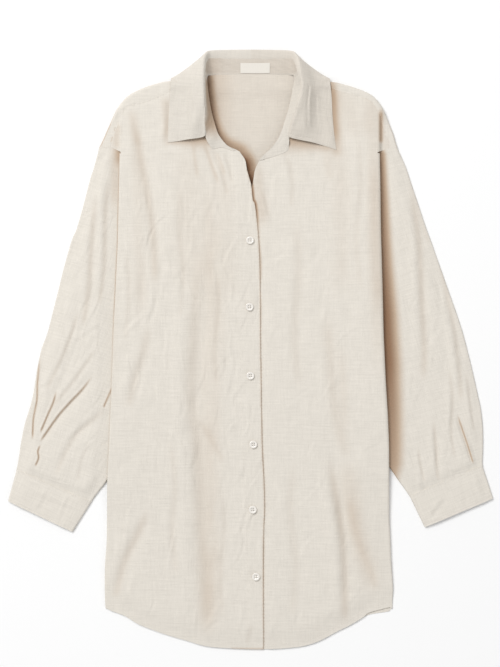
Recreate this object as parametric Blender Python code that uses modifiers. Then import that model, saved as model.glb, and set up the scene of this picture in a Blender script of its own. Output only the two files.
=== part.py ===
"""Linen shirt laid flat on its back, buttoned up the front, its sleeves down beside it.

Millimetres in the tables, metres in the file. +Y runs to the collar, +X to the right as the front is seen,
+Z up out of the front, and z = 0 is the surface that it lies on. Left and right are as the front is seen.

Each cut piece is one solid. It starts as the face of its cloth, an open surface turned outwards, which a Solidify
makes the cloth's thickness inwards. Under the body lie the sleeves' inner edges and each front's own side, which
folds under and comes back to the side seam.
"""

import bpy
import numpy as np
from mathutils import Vector
from mathutils.geometry import delaunay_2d_cdt

MM = 0.001
CLOTH, CUFF_CLOTH, LABEL_CLOTH = 1.2, 1.4, 0.5
SEAM = 0.3  # between two pieces that are sewn together
LEFT, RIGHT = -1, 1
TURN = (0, 36, 72, 108, 144, 180)  # degrees round a fold
YOKE_BACK = 261.0  # where the yoke meets the back, under the shirt
SIDE_STEP, STATIONS = 27, 15  # down each side, and along each shoulder

# Outlines, (x, y). The folds are where each side of the body turns under.
FOLD_LEFT = (
    (-189.9, 287.1), (-190.7, 246.5), (-191.4, 217.5), (-192.4, 159.5), (-195.8, 87), (-198.7, 29),
    (-201.5, -50.8), (-205.2, -139.2), (-207.8, -188.5), (-208.8, -275.5), (-211.3, -310.3),
    (-212.1, -362.5), (-211.7, -374.1),
)
FOLD_RIGHT = (
    (185.6, 287.1), (187, 217.5), (187.9, 160.9), (189.9, 87), (191.4, 29), (194.3, -42),
    (197.6, -92.8), (199.5, -139.2), (199.8, -188.5), (200.1, -240.7), (203, -304.5), (205.9, -345.1),
    (205.9, -374.1),
)
HEM_LEFT = (
    (-211.7, -374.1), (-195.8, -379.9), (-181.2, -385.7), (-162.4, -397.3), (-131.9, -408.9),
    (-111.6, -415.4), (-91.3, -421.2), (-66.7, -428.5), (-37.7, -431.4), (-7.2, -432.8),
    (18.1, -433.3),
)
HEM_RIGHT = (
    (18.1, -433.3), (24.6, -433), (47.9, -431.8), (75.4, -428.5), (98.6, -421.2), (121.8, -408.9),
    (145, -397.3), (163.8, -385.7), (169.7, -380.6), (187, -375.6), (205.9, -371.2),
)
BACK_HEM = (
    (-211.7, -374.1), (-195.8, -379.9), (-181.2, -385.7), (-162.4, -397.3), (-131.9, -408.9),
    (-91.3, -421.2), (-37.7, -430.6), (18.1, -432.1), (75.4, -428.5), (121.8, -408.9), (145, -397.3),
    (163.8, -386.4), (175.4, -382.2), (200.1, -378.4), (205.9, -374.1),
)
FRONT_EDGE = (
    (-16.8, 286.8), (-8.7, 274.8), (-5.8, 260.1), (0, 239.2), (2.5, 217.5), (5.8, 208.8),
    (10.2, 168.9), (11.3, 150.8), (12.5, 120.3), (13.3, 65.2), (13.6, 8.7), (14.5, -58),
    (15.9, -139.2), (18.1, -182.7), (19.4, -227.7), (18, -261), (17.4, -327.7), (17.8, -391.5),
    (18.1, -433.3),
)
NECK_LEFT = (
    (-16.8, 286.8), (-22.5, 289.9), (-30.5, 292.9), (-37.6, 296.9), (-44.1, 304), (-49.6, 312.5),
    (-53, 322), (-55.6, 331.5), (-58.6, 345), (-61.1, 360), (-63.2, 376), (-65, 391.8),
)
YOKE_SEAM_LEFT = (
    (-65, 391.8), (-74.2, 390.1), (-88.5, 385), (-103, 379.9), (-117.5, 374.1), (-131.9, 366.4),
    (-147.9, 359.6), (-165.3, 354.8), (-176.9, 351.9), (-183.4, 346.6), (-187.8, 338.6),
    (-191.4, 329.1), (-195.8, 317.6), (-200.1, 305.2), (-203.7, 293.9),
)
NECK_RIGHT = (
    (64.5, 393.4), (61.6, 378), (59, 364), (55.5, 348), (51, 332), (46.5, 317), (40.5, 303.5),
    (32, 292.5), (21.5, 282.5), (12.5, 273.5), (8, 266.1),
)
RIGHT_EDGE = (
    (8, 266.1), (5.2, 258.1), (3.5, 246.5), (1.4, 234.9), (-2.2, 217.5), (-8, 188.5), (-13.8, 152.2),
    (-17.4, 116), (-19.4, 65.2), (-19.7, 8.7), (-18.8, -58), (-17.4, -139.2), (-15.2, -182.7),
    (-13.9, -227.7), (-15.4, -261), (-15.9, -327.7), (-15.5, -391.5), (-15.2, -433),
)
YOKE_SEAM_RIGHT = (
    (64.5, 393.4), (72.5, 391.5), (87, 387.1), (103, 382.1), (121.8, 375.8), (137.8, 371.2),
    (153.7, 366.8), (166.8, 363.2), (175.4, 358.1), (180.5, 350.2), (184.9, 339.3), (189.2, 326.2),
    (193.6, 313.2), (197.9, 301.6), (201.5, 292.2),
)
SHOULDER_LEFT = (
    (-219.9, 292.6), (-216.9, 298.4), (-212.4, 308.1), (-208.1, 318.3), (-203.7, 327.7),
    (-200.1, 336.4), (-195.8, 345.8), (-189.2, 355.5), (-181.2, 364.7), (-172.5, 371.2), (-160.9, 377),
    (-146.4, 382.5), (-127.6, 387.8), (-113.1, 389.5), (-98.6, 391.5), (-84.1, 394.5), (-72.5, 398),
    (-65.6, 400),
)
SHOULDER_RIGHT = (
    (212, 292.8), (209.5, 300.1), (205.9, 313.2), (201.5, 324.1), (197.2, 334.9), (193.6, 343.6),
    (188.5, 353.1), (183.4, 360.3), (176.2, 367.6), (168.2, 372.4), (158, 376.7), (142.1, 382.2),
    (124.7, 387), (110.2, 388), (95.7, 390.2), (81.2, 394), (71.2, 397.8), (65.2, 399.8),
)
ARMHOLE_LEFT = (
    (-221.8, 288.6), (-204.5, 292.6), (-188.6, 285.8), (-175.4, 239.2), (-160.9, 181.2),
    (-147.9, 123.2), (-134.8, 65.2),
)
ARMHOLE_RIGHT = (
    (213.6, 288.6), (203, 289.3), (184.9, 285.6), (171.1, 239.2), (156.6, 181.2), (143.5, 123.2),
    (130.5, 65.2),
)
OUTER_LEFT = (
    (-221.8, 288.6), (-227.7, 263.9), (-233.4, 246.5), (-242.2, 211.7), (-252.3, 176.9),
    (-259.6, 159.5), (-269.7, 124.7), (-278.4, 89.9), (-287.1, 55.1), (-294.9, 24.6), (-303.1, 2.9),
    (-308.8, -21.8), (-312.2, -43.5), (-315.5, -63.8), (-320.4, -84.1), (-326.2, -101.5),
    (-330.3, -118.9), (-333.5, -136.3), (-336.4, -156.6), (-339.3, -172.5),
)
INNER_LEFT = (
    (-134.8, 65.2), (-140.7, 14.5), (-150.8, -43.5), (-163.8, -101.5), (-182.7, -147.9),
    (-207.6, -187.8), (-220.4, -204.4), (-231.3, -219.2),
)
OUTER_RIGHT = (
    (213.6, 288.6), (224.8, 263.9), (230.5, 246.5), (242.2, 211.7), (253.8, 176.9), (260.3, 159.5),
    (272.6, 124.7), (284.9, 89.9), (297.2, 55.1), (307.4, 23.2), (316.1, -10.2), (322.6, -37.7),
    (328.4, -63.8), (332.8, -84.1), (335.4, -107.3), (336.1, -130.5), (335.7, -149.3), (334.9, -165.7),
)
INNER_RIGHT = (
    (130.5, 65.2), (136.3, 14.5), (146.4, -43.5), (159.5, -98.6), (176.9, -139.2), (199.8, -168.9),
    (213.2, -188.5), (229.1, -210.2),
)
CUFF_LEFT = (
    (-339.3, -173.1), (-231.3, -219.8), (-258.4, -263.3), (-351.8, -218.7),
)
CUFF_RIGHT = (
    (229.4, -210.8), (334.9, -166.5), (350.6, -214.6), (251.4, -256.4),
)
NECK_BACK = (
    (-61.5, 396.8), (-55, 397.2), (-30.4, 397.2), (0, 397), (30.4, 397.2), (54, 397.2), (60.5, 396.8),
)
BUTTONS = (
    (-1.4, 158.5), (-2, 62.4), (-0.9, -37), (3.3, -136.3), (2.6, -230.5), (7.1, -327.4),
)
LEAF = (
    ((-64.9, 310.2, 21.9), (-66.4, 308.6, 23), (-69.5, 307, 22.6), (-78.3, 305.2, 19),
     (-91.3, 303.5, 15.5), (-105.8, 301.3, 12.9), (-120.3, 299.4, 11.8)),
    ((-65.3, 331.5, 24.6), (-67, 331.8, 26.2), (-70.4, 331.6, 25.7), (-79.8, 329.1, 21.5),
     (-92.8, 327, 15.8), (-105.8, 324.8, 12.7), (-119.8, 323.3, 11.4)),
    ((-65.9, 355.5, 26.7), (-67.7, 355.5, 28.4), (-71.4, 354, 27.9), (-81.2, 351.6, 23),
     (-93.1, 349.4, 16.5), (-105.8, 348, 12.6), (-118.9, 346.6, 11.2)),
    ((-66.5, 377.8, 27.4), (-68.4, 378.6, 29.3), (-72, 378.2, 28.9), (-82.2, 375.6, 24),
     (-92.8, 372.6, 17), (-105.1, 369, 12.6), (-117.7, 365.4, 10.9)),
    ((-66.3, 397.6, 26.2), (-68.2, 399.4, 28.1), (-71.4, 399.5, 27.7), (-79.8, 397.3, 22.5),
     (-91.3, 393.4, 15.5), (-103.7, 388.6, 11.6), (-116.3, 383.5, 10.5)),
    ((-64.8, 412.6, 20.9), (-66.7, 416.2, 22.7), (-69.8, 417.6, 22.2), (-77.9, 414, 17),
     (-89.9, 407.4, 11), (-103, 399.8, 7.5), (-114.5, 393.5, 6)),
    ((-61.4, 420.8, 14), (-62.9, 427.3, 15.6), (-65.5, 428.9, 13.8), (-74, 422.2, 7.5),
     (-86.3, 411.8, 2.8), (-98.6, 399.3, 0.6), (-106.6, 386.4, 0)),
    ((-54.7, 422.3, 9.8), (-56.1, 430.8, 10.4), (-58.7, 432.4, 7.2), (-65.2, 425.6, 2),
     (-74, 412.5, 0.2), (-79.8, 396.6, 0), (-84.1, 381.3, 0)),
    ((-33.5, 422, 6.8), (-33.9, 432.3, 6.5), (-34.8, 433.8, 3.6), (-37, 427.8, 0.3),
     (-39.9, 414.7, 0), (-42, 398.8, 0), (-43.5, 382.8, 0)),
    ((0, 421.7, 6.1), (0, 432.6, 5.7), (0, 434.4, 3.1), (0, 428.5, 0.1),
     (0, 414.7, 0), (0, 398.8, 0), (0, 382.8, 0)),
    ((32.7, 422, 6.8), (33.4, 432.3, 6.5), (34.2, 433.7, 3.6), (36.2, 427.8, 0.3),
     (39.1, 414.7, 0), (41.3, 398.8, 0), (42.8, 382.8, 0)),
    ((53.4, 422.1, 9.8), (54.8, 430.8, 10.4), (57.3, 432.1, 7.2), (63.8, 425.3, 2),
     (72.5, 412.2, 0.2), (78.3, 396.3, 0), (82.6, 381.3, 0)),
    ((60.4, 420.2, 14), (62.4, 426.8, 15.6), (64.7, 428, 13.8), (72.5, 421.1, 7.5),
     (84.8, 410.3, 2.8), (97.1, 398, 0.6), (105.1, 385.7, 0)),
    ((64.4, 411.6, 20.7), (66.8, 415.2, 22.5), (70, 416.4, 22.1), (77.6, 412.4, 17),
     (89.2, 406, 11), (101.8, 398.8, 7.8), (113.4, 392.7, 6.2)),
    ((68, 397, 26), (70.2, 398, 27.9), (73.6, 397.4, 27.3), (81, 395.8, 22.5),
     (91.3, 392.1, 15.5), (103, 387.7, 12.2), (114.5, 382.8, 11.3)),
    ((71.3, 376.5, 27.2), (73.3, 376, 29), (76.6, 375, 28.4), (84, 372.6, 24),
     (93.2, 370.5, 17.5), (104.4, 368.3, 12.8), (116.4, 366, 11.2)),
    ((65.8, 351.6, 26.6), (67.8, 350.6, 28.3), (71.6, 349, 27.7), (81, 345.6, 23.5),
     (92.4, 343.1, 17), (105.1, 341.5, 13.2), (117.7, 339.9, 11.7)),
    ((58.4, 327.6, 24.2), (60.4, 326.6, 26.1), (65, 325, 25.7), (77, 322.2, 21.8),
     (90.6, 319.5, 16.3), (105.1, 317.3, 13.1), (119.8, 315.2, 12)),
    ((54.2, 308.6, 21.6), (55.8, 306.8, 23.1), (60.5, 305, 22.5), (74, 302.2, 19),
     (89.3, 299.2, 15.5), (105.8, 294.6, 13.2), (123.2, 289, 12.3)),
)
STAND = (
    ((-22.5, 288.9, 10.4), (-26.5, 287.4, 10.9)),
    ((-30, 292, 10.6), (-36.5, 291.2, 12.6)),
    ((-37, 296, 10.7), (-45, 292.6, 14.2)),
    ((-43.4, 303.2, 10.7), (-53.6, 291.2, 15)),
    ((-48.9, 312, 10.7), (-60.6, 300.4, 17.5)),
    ((-52.2, 321.6, 10.7), (-64.3, 309.6, 20.6)),
    ((-54.8, 331.2, 10.7), (-64.8, 324, 23)),
    ((-57.8, 345, 10.7), (-65.3, 341.5, 24.6)),
    ((-60.3, 360, 10.6), (-65.9, 359, 25.6)),
    ((-62.3, 376.5, 10.4), (-66.3, 378, 26)),
    ((-63.4, 390.5, 9.9), (-66, 396.5, 24.9)),
    ((-62.6, 397.4, 7.6), (-64.4, 411.6, 19.6)),
    ((-59, 398.9, 5.4), (-61.1, 419.6, 12.8)),
    ((-52, 399.1, 4.2), (-54.4, 421, 8.8)),
    ((-33, 399.1, 3.8), (-33.4, 420.8, 6.2)),
    ((0, 399, 3.6), (0, 420.6, 5.6)),
    ((32, 399.1, 3.8), (32.6, 420.8, 6.2)),
    ((51, 399.1, 4.2), (53.2, 420.8, 8.8)),
    ((58, 398.9, 5.4), (60.1, 419, 12.8)),
    ((61.8, 397.4, 7.6), (63.9, 410.6, 19.4)),
    ((62.8, 390.5, 9.9), (67.6, 396, 24.8)),
    ((60.8, 376.5, 10.4), (70.9, 377, 25.9)),
    ((58.2, 362, 10.6), (67.6, 360, 25.7)),
    ((54.6, 346.5, 10.7), (62.6, 342.5, 24.2)),
    ((50, 331, 10.7), (57.8, 326, 22.5)),
    ((45.5, 316, 10.7), (54, 309.2, 20)),
    ((39.4, 302.6, 10.7), (53, 297, 17)),
    ((31, 291.8, 10.7), (51, 287.2, 14.5)),
    ((21, 282.4, 10.6), (36, 280.6, 12.4)),
    ((12.2, 273.6, 10.4), (19, 275.6, 11)),
)

# Each side of the body, down its fold: y, the top of the cloth, the face of the part folded under, and how far
# that part comes back in.
SIDES = {
    LEFT: ((287, 8.8, 4.8, 0.6), (200, 9.0, 4.8, 25), (65, 9.2, 4.8, 62), (-100, 9.0, 4.8, 39), (-195, 8.6, 4.8, 26),
           (-250, 5.4, 0.0, 18), (-374, 4.8, 0.0, 0.6)),
    RIGHT: ((287, 12.5, 4.8, 0.6), (200, 15.5, 4.8, 22), (65, 16.0, 4.8, 55), (-100, 14.5, 4.8, 35),
            (-175, 12.0, 4.8, 26), (-240, 7.4, 0.0, 17), (-374, 5.4, 0.0, 0.6)),
}
# How high the top of each front lies: y, then its height from the side fold in to the middle of the body.
ACROSS = (0, 0.12, 0.3, 0.55, 0.8, 1)
RISE = {
    LEFT: ((390, 8.6, 8.6, 8.6, 8.6, 8.6, 8.6), (300, 8.8, 9.4, 9.4, 9.2, 9.0, 9.0), (200, 9.0, 9.8, 9.4, 8.8, 8.8, 8.8),
           (65, 9.2, 10, 9.6, 8.8, 8.6, 8.4), (-100, 9.0, 9.6, 9.0, 8.2, 8.2, 8.2), (-195, 8.6, 8.9, 8.2, 7.8, 7.8, 7.8),
           (-250, 5.4, 6.6, 7.2, 7.4, 7.4, 7.6), (-374, 4.8, 5.4, 6.2, 6.8, 7.0, 7.2), (-434, 4.8, 5.2, 5.8, 6.4, 6.8, 7.0)),
    RIGHT: ((390, 8.6, 8.6, 8.6, 8.6, 8.6, 8.6), (300, 12.5, 12, 10.4, 9.2, 9.0, 9.0), (200, 15.5, 14.5, 11.6, 9.6, 9.2, 9.0),
            (65, 16, 15, 12, 9.8, 9.2, 9.0), (-100, 14.5, 13.6, 11, 9.4, 8.8, 8.6), (-175, 12, 11.8, 10.2, 9.0, 8.4, 8.2),
            (-240, 7.4, 8.4, 8.8, 8.4, 8.2, 8.0), (-374, 5.4, 6.0, 7.0, 7.2, 7.2, 7.4), (-434, 5.4, 5.6, 6.4, 7.0, 7.0, 7.2)),
}
# The largest soft folds: half width, depth (below nothing a valley), and the line that each runs along.
FRONT_FOLDS = {
    LEFT: (
        (9, -1.7, ((-172, 340), (-167, 275), (-156, 204), (-151, 170), (-158, 90), (-160, 10))),
        (13, -2.4, ((-64, 110), (-72, 0), (-74, -100), (-70, -250), (-66, -330), (-64, -428))),
        (11, 1.2, ((-103, 60), (-106, -60), (-104, -200), (-96, -330), (-90, -420))),
        (10, -1.5, ((-160, -235), (-176, -275), (-192, -315), (-204, -362))),
        (6, -1.3, ((-62, 290), (-54, 262), (-46, 236))),
    ),
    RIGHT: (
        (10, -2.2, ((112, -110), (124, -190), (138, -262), (156, -292), (175, -322), (178, -368))),
        (9, 1.4, ((104, -190), (114, -260), (123, -330), (126, -398))),
        (7, -1.0, ((16, 264), (24, 236), (28, 214))),
    ),
}
SLEEVE_FOLDS = {
    LEFT: (
        (7, -1.8, ((-232, -38), (-246, -60), (-268, -86), (-286, -106), (-304, -136))),
        (6, -1.3, ((-255, 14), (-268, -30), (-284, -64), (-296, -98), (-306, -122))),
        (5, -1.2, ((-303, -10), (-310, -62), (-314, -94), (-316, -130))),
        (7, -1.0, ((-220, -94), (-248, -122), (-272, -148), (-285, -178))),
    ),
    RIGHT: (
        (7, -1.7, ((292, -72), (304, -108), (318, -142), (323, -164))),
        (6, -0.9, ((265, -113), (270, -164), (274, -194))),
        (9, -1.2, ((262, 130), (276, 60), (284, -10), (286, -60))),
    ),
}
SLEEVE_EDGE, SLEEVE_LOFT = 3.8, 3.4  # height at its edges, and what the middle adds where nothing lies on it
CUFF_EDGE, CUFF_MIDDLE = 4.4, 5.6

BUTTON_RADIUS, BUTTON_THICK, HOLE_RADIUS, HOLE_OUT = 5.75, 2.2, 0.8, 1.35
CUFF_BUTTONS = {LEFT: (-327.3, -204.2), RIGHT: (324.4, -198.3)}


def smooth(x):
    x = np.clip(x, 0, 1)
    return x * x * (3 - 2 * x)


def along(line, step):
    """The line's own corners, with points between them at most a step apart."""
    line = np.asarray(line, float)
    out = [line[:1]]
    for a, b in zip(line[:-1], line[1:]):
        parts = max(1, int(np.ceil(np.linalg.norm(b - a) / step)))
        out.append(a + (b - a) * (np.arange(1, parts + 1) / parts)[:, None])
    return np.concatenate(out)


def evenly(line, count):
    """The line in a number of equal lengths."""
    line = np.asarray(line, float)
    far = np.concatenate([[0], np.cumsum(np.linalg.norm(np.diff(line, axis=0), axis=1))])
    at = np.linspace(0, far[-1], count)
    return np.stack([np.interp(at, far, line[:, i]) for i in range(line.shape[1])], axis=1)


def row(table, y, column):
    """One column of a table whose rows begin with y."""
    table = np.asarray(sorted(table), float)
    return np.interp(y, table[:, 0], table[:, column])


def x_on(line, y):
    """Where a line that runs down the shirt is at y."""
    line = np.asarray(sorted((p[1], p[0]) for p in line), float)
    return np.interp(y, line[:, 0], line[:, 1])


def fold_x(side, y):
    return x_on(FOLD_LEFT if side == LEFT else FOLD_RIGHT, y)


def turn_radius(side, y):
    return (row(SIDES[side], y, 1) - row(SIDES[side], y, 2)) / 2


def distance(x, y, line):
    """How far each point is from a line, and how far along the line, 0 to 1, the nearest place is."""
    line = np.asarray(line, float)
    near = np.full(np.shape(x), 1e9)
    at = np.zeros(np.shape(x))
    sizes = np.linalg.norm(np.diff(line, axis=0), axis=1)
    start = np.concatenate([[0], np.cumsum(sizes)])
    for i, (a, b) in enumerate(zip(line[:-1], line[1:])):
        t = np.clip(((x - a[0]) * (b[0] - a[0]) + (y - a[1]) * (b[1] - a[1])) / sizes[i] ** 2, 0, 1)
        d = np.hypot(x - a[0] - t * (b[0] - a[0]), y - a[1] - t * (b[1] - a[1]))
        at = np.where(d < near, (start[i] + t * sizes[i]) / start[-1], at)
        near = np.minimum(near, d)
    return near, at


def folds(x, y, table):
    """The height that a table of soft folds adds."""
    total = np.zeros(np.shape(x))
    for width, depth, line in table:
        d, t = distance(x, y, line)
        total += depth * np.exp(-((d / width) ** 2)) * (0.25 + 0.75 * smooth(np.minimum(t, 1 - t) / 0.2))
    return total


def rise(side, x, y):
    """The spread of heights in RISE, at each point."""
    inner = fold_x(side, y) - side * turn_radius(side, y)
    u = np.clip((inner - x) / (inner - 15), 0, 1)
    columns = [row(RISE[side], y, i + 1) for i in range(len(ACROSS))]
    total = columns[0]
    for i in range(len(ACROSS) - 1):
        t = smooth((u - ACROSS[i]) / (ACROSS[i + 1] - ACROSS[i]))
        total = total + (columns[i + 1] - columns[i]) * t
    return total


def front_top(side, x, y):
    """The top of a front's cloth. Outside its fold, at the shoulder, the cloth steps down to the sleeve."""
    top = rise(side, x, y) + folds(x, y, FRONT_FOLDS[side])
    if side == RIGHT:
        under = rise(LEFT, x, y) + folds(x, y, FRONT_FOLDS[LEFT]) - CLOTH - 0.9
        top = top + (under - top) * smooth((x_on(FRONT_EDGE, y) + 13 - x) / 11)
    out = side * (x - fold_x(side, y))
    step = smooth((out + 1.5) / 5) * smooth((351 - y) / 26)
    return top + (4.7 - top) * step


def inside(points, outline):
    x, y = points[:, 0], points[:, 1]
    found = np.zeros(len(points), bool)
    for (x0, y0), (x1, y1) in zip(outline, np.roll(outline, -1, axis=0)):
        crosses = (y0 > y) != (y1 > y)
        found ^= crosses & (x < (x1 - x0) * (y - y0) / np.where(y1 == y0, 1, y1 - y0) + x0)
    return found


def flat_panel(outline, step_x, step_y, clear=0.5):
    """Triangles that fill an outline: its points, then staggered rows inside it."""
    outline = np.asarray(outline, float)
    low, high = outline.min(0), outline.max(0)
    grid = []
    for j, y in enumerate(np.arange(low[1] + step_y / 2, high[1], step_y)):
        x = np.arange(low[0] + step_x * (0.25 + 0.5 * (j % 2)), high[0], step_x)
        grid.append(np.stack([x, np.full(len(x), y)], axis=1))
    grid = np.concatenate(grid)
    grid = grid[inside(grid, outline)]
    closed = np.concatenate([outline, outline[:1]])
    stretch = np.array([1, step_x / step_y])
    away, _ = distance(grid[:, 0], grid[:, 1] * stretch[1], closed * stretch)
    points = np.concatenate([outline, grid[away > clear * step_x]])
    count = len(outline)
    edges = [(i, (i + 1) % count) for i in range(count)]
    _, _, faces, source, _, _ = delaunay_2d_cdt([Vector(p) for p in points], edges, [], 1, 1e-6)
    faces = np.array([[source[i][0] for i in face] for face in faces])
    a, b, c = (points[faces[:, i]] for i in range(3))
    turned = (b[:, 0] - a[:, 0]) * (c[:, 1] - a[:, 1]) < (b[:, 1] - a[:, 1]) * (c[:, 0] - a[:, 0])
    faces[turned] = faces[turned][:, ::-1]
    return points, faces


def lattice(points, flip=False, around=False):
    """Quads over rows and columns of points."""
    points = np.asarray(points, float)
    rows, columns = points.shape[:2]
    faces = []
    for i in range(rows - 1):
        for j in range(columns if around else columns - 1):
            k = (j + 1) % columns
            face = (i * columns + j, (i + 1) * columns + j, (i + 1) * columns + k, i * columns + k)
            faces.append(face[::-1] if flip else face)
    return points.reshape(-1, 3), faces


def join(*patches):
    """Patches that share edge points, as one surface."""
    points, faces, index = [], [], {}
    for found, polygons in patches:
        own = []
        for p in np.asarray(found, float):
            key = tuple(int(v) for v in np.round(p * 500))
            if key not in index:
                index[key] = len(points)
                points.append(p)
            own.append(index[key])
        faces.extend(tuple(own[i] for i in face) for face in polygons)
    return np.array(points), faces


def turn(edge, outward, radius, degrees):
    """Rows of points from a panel's edge out, over and under: a half turn, unless fewer degrees are given."""
    edge, outward = np.asarray(edge, float), np.asarray(outward, float)
    radius = np.broadcast_to(radius, len(edge))
    columns = []
    for angle in np.radians(degrees):
        flat = edge[:, :2] + outward * (radius * np.sin(angle))[:, None]
        height = edge[:, 2] - radius * (1 - np.cos(angle))
        columns.append(np.column_stack([flat, height]))
    return np.stack(columns, axis=1)


def spline(points, at):
    """A smooth curve through points, read at places counted in points."""
    points = np.asarray(points, float)
    padded = np.concatenate([2 * points[:1] - points[1:2], points, 2 * points[-1:] - points[-2:-1]])
    at = np.asarray(at, float)
    i = np.clip(at.astype(int), 0, len(points) - 2)
    t = (at - i).reshape((-1,) + (1,) * (points.ndim - 1))
    a, b, c, d = (padded[i + k] for k in range(4))
    return 0.5 * (2 * b + (c - a) * t + (2 * a - 5 * b + 4 * c - d) * t**2 + (3 * b - a - 3 * c + d) * t**3)


def net(table, rows, columns):
    """A smooth surface through a table of points, read at rows and columns counted in points."""
    down = spline(np.array(table, float), rows)
    found = np.swapaxes(spline(np.swapaxes(down, 0, 1), columns), 0, 1)
    found[..., 2] = np.maximum(found[..., 2], 0)
    return found


def outline(*lines, step):
    """Lines end to end as one outline, its long edges split."""
    points = along(np.concatenate([np.asarray(line, float) for line in lines]), step)
    keep = np.linalg.norm(points - np.roll(points, 1, axis=0), axis=1) > 0.05
    return points[keep]


def side_seam(side, y):
    return fold_x(side, y) - side * (turn_radius(side, y) + row(SIDES[side], y, 3))


def side_rows(step):
    return np.linspace(284, -374, int(658 / step) + 1)


def side_strip(side, edge):
    """A front's side: from its top round the fold, then back in to the side seam or the armhole."""
    y = edge[:, 1]
    outward = np.column_stack([np.full(len(y), side), np.zeros(len(y))])
    rolled = turn(edge, outward, (edge[:, 2] - row(SIDES[side], y, 2)) / 2, TURN)
    under = []
    for part in (0.5, 1):
        back = row(SIDES[side], y, 3) - 3 * smooth((y - 55) / 5)
        under.append(np.column_stack([edge[:, 0] - side * part * np.maximum(back, 0.6), y, row(SIDES[side], y, 2)]))
    return lattice(np.concatenate([rolled, np.stack(under, axis=1)], axis=1), flip=side == LEFT)


def front(side, step_x, step_y):
    """A front: a panel from the side fold to its opening edge, and the part that folds under at the side."""
    y = side_rows(SIDE_STEP)
    edge = np.column_stack([fold_x(side, y) - side * turn_radius(side, y), y])
    if side == LEFT:
        hem, opening, neck, seam, armhole = HEM_LEFT, FRONT_EDGE, NECK_LEFT, YOKE_SEAM_LEFT, (-188.6, 286.4)
    else:
        hem, opening, neck, seam, armhole = HEM_RIGHT[::-1], RIGHT_EDGE, NECK_RIGHT[::-1], YOKE_SEAM_RIGHT, (184.4, 286.4)
    hem = [p for p in hem if side * p[0] < side * edge[-1][0] - 2]
    seam = evenly(seam, STATIONS) + (-side * SEAM, -SEAM)
    loop = [edge, outline(hem, opening[::-1], neck[:-1], seam, [armhole], step=step_x * 1.6)]
    points, faces = flat_panel(np.concatenate(loop), step_x, step_y)
    points = np.column_stack([points, front_top(side, points[:, 0], points[:, 1])])
    return join((points, faces), side_strip(side, points[: len(edge)]))


def neck_lift(x, y):
    """How far the back lifts over the collar's leaf, which folds under it at the neck."""
    return 2.2 * smooth((y - 362) / 16) * smooth((128 - abs(x)) / 12)


def yoke(step_x, step_y):
    """The yoke: under both shoulders and the neck, round each shoulder's fold, then a strip over the front."""
    edges, strips = {}, []
    for side, shoulder, seam in ((LEFT, SHOULDER_LEFT, YOKE_SEAM_LEFT), (RIGHT, SHOULDER_RIGHT, YOKE_SEAM_RIGHT)):
        fold, seam = evenly(shoulder, STATIONS), evenly(seam[::-1], STATIONS)
        ahead = np.gradient(fold, axis=0)
        outward = np.column_stack([side * ahead[:, 1], -side * ahead[:, 0]]) / np.linalg.norm(ahead, axis=1)[:, None]
        low = neck_lift(fold[:, 0], fold[:, 1])
        radius = (front_top(side, fold[:, 0], fold[:, 1]) - low) / 2
        start = fold - outward * radius[:, None]
        top = low + 2 * radius
        rolled = turn(np.column_stack([start, top]), outward, radius, TURN)
        middle = (start + seam) / 2
        strip = np.stack(
            [np.column_stack([seam, front_top(side, seam[:, 0], seam[:, 1])]),
             np.column_stack([middle, (top + front_top(side, middle[:, 0], middle[:, 1])) / 2])], axis=1)
        strips.append(lattice(np.concatenate([strip, rolled], axis=1), flip=side == RIGHT))
        edges[side] = start
    arms = []
    for side, armhole in ((RIGHT, ARMHOLE_RIGHT), (LEFT, ARMHOLE_LEFT)):
        line = [(p[0] - side * SEAM, p[1] + SEAM) for p in armhole[1:3]]
        line.append((x_on(armhole[2:], YOKE_BACK) - side * SEAM, YOKE_BACK + SEAM))
        arms.append(line if side == RIGHT else line[::-1])
    back = outline(NECK_BACK, step=step_x)
    loop = [edges[LEFT], back, edges[RIGHT][::-1], outline(*arms, step=step_x * 1.6)]
    points, faces = flat_panel(np.concatenate(loop), step_x, step_y)
    points = np.column_stack([points, neck_lift(points[:, 0], points[:, 1])])
    return join((points, faces[:, ::-1]), *strips)


def back_face(x, y):
    """The back's face, down on the surface but for its sides, which lie over the sleeves."""
    total = np.zeros(np.shape(x))
    for side in (LEFT, RIGHT):
        inboard = side * (side_seam(side, np.minimum(y, 65)) - x)
        lift = row(SIDES[side], y, 2) * smooth(1 - (inboard - 1) / 30) * smooth((78 - y) / 11)
        total = np.maximum(total, lift)
    return total


def back(step_x, step_y):
    y = side_rows(SIDE_STEP)
    y = y[y < 62]
    left = np.column_stack([side_seam(LEFT, y) + SEAM, y])
    right = np.column_stack([side_seam(RIGHT, y) - SEAM, y])[::-1]
    arms = []
    for side, armhole in ((LEFT, ARMHOLE_LEFT), (RIGHT, ARMHOLE_RIGHT)):
        line = [(x_on(armhole[2:], YOKE_BACK) - side * SEAM, YOKE_BACK)]
        line += [(p[0] - side * SEAM, p[1]) for p in armhole[3:]]
        arms.append(line)
    hem = [p for p in BACK_HEM if left[-1][0] + 2 < p[0] < right[0][0] - 2]
    loop = [left, outline(hem, step=step_x), right, outline(arms[1][::-1], arms[0], step=step_x)]
    points, faces = flat_panel(np.concatenate(loop), step_x, step_y)
    return join((np.column_stack([points, back_face(points[:, 0], points[:, 1])]), faces[:, ::-1]))


def share(line, at):
    """The places along a line at these shares of its length."""
    fine = evenly(line, 201)
    return np.stack([np.interp(at, np.linspace(0, 1, 201), fine[:, i]) for i in range(2)], axis=-1)


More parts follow.
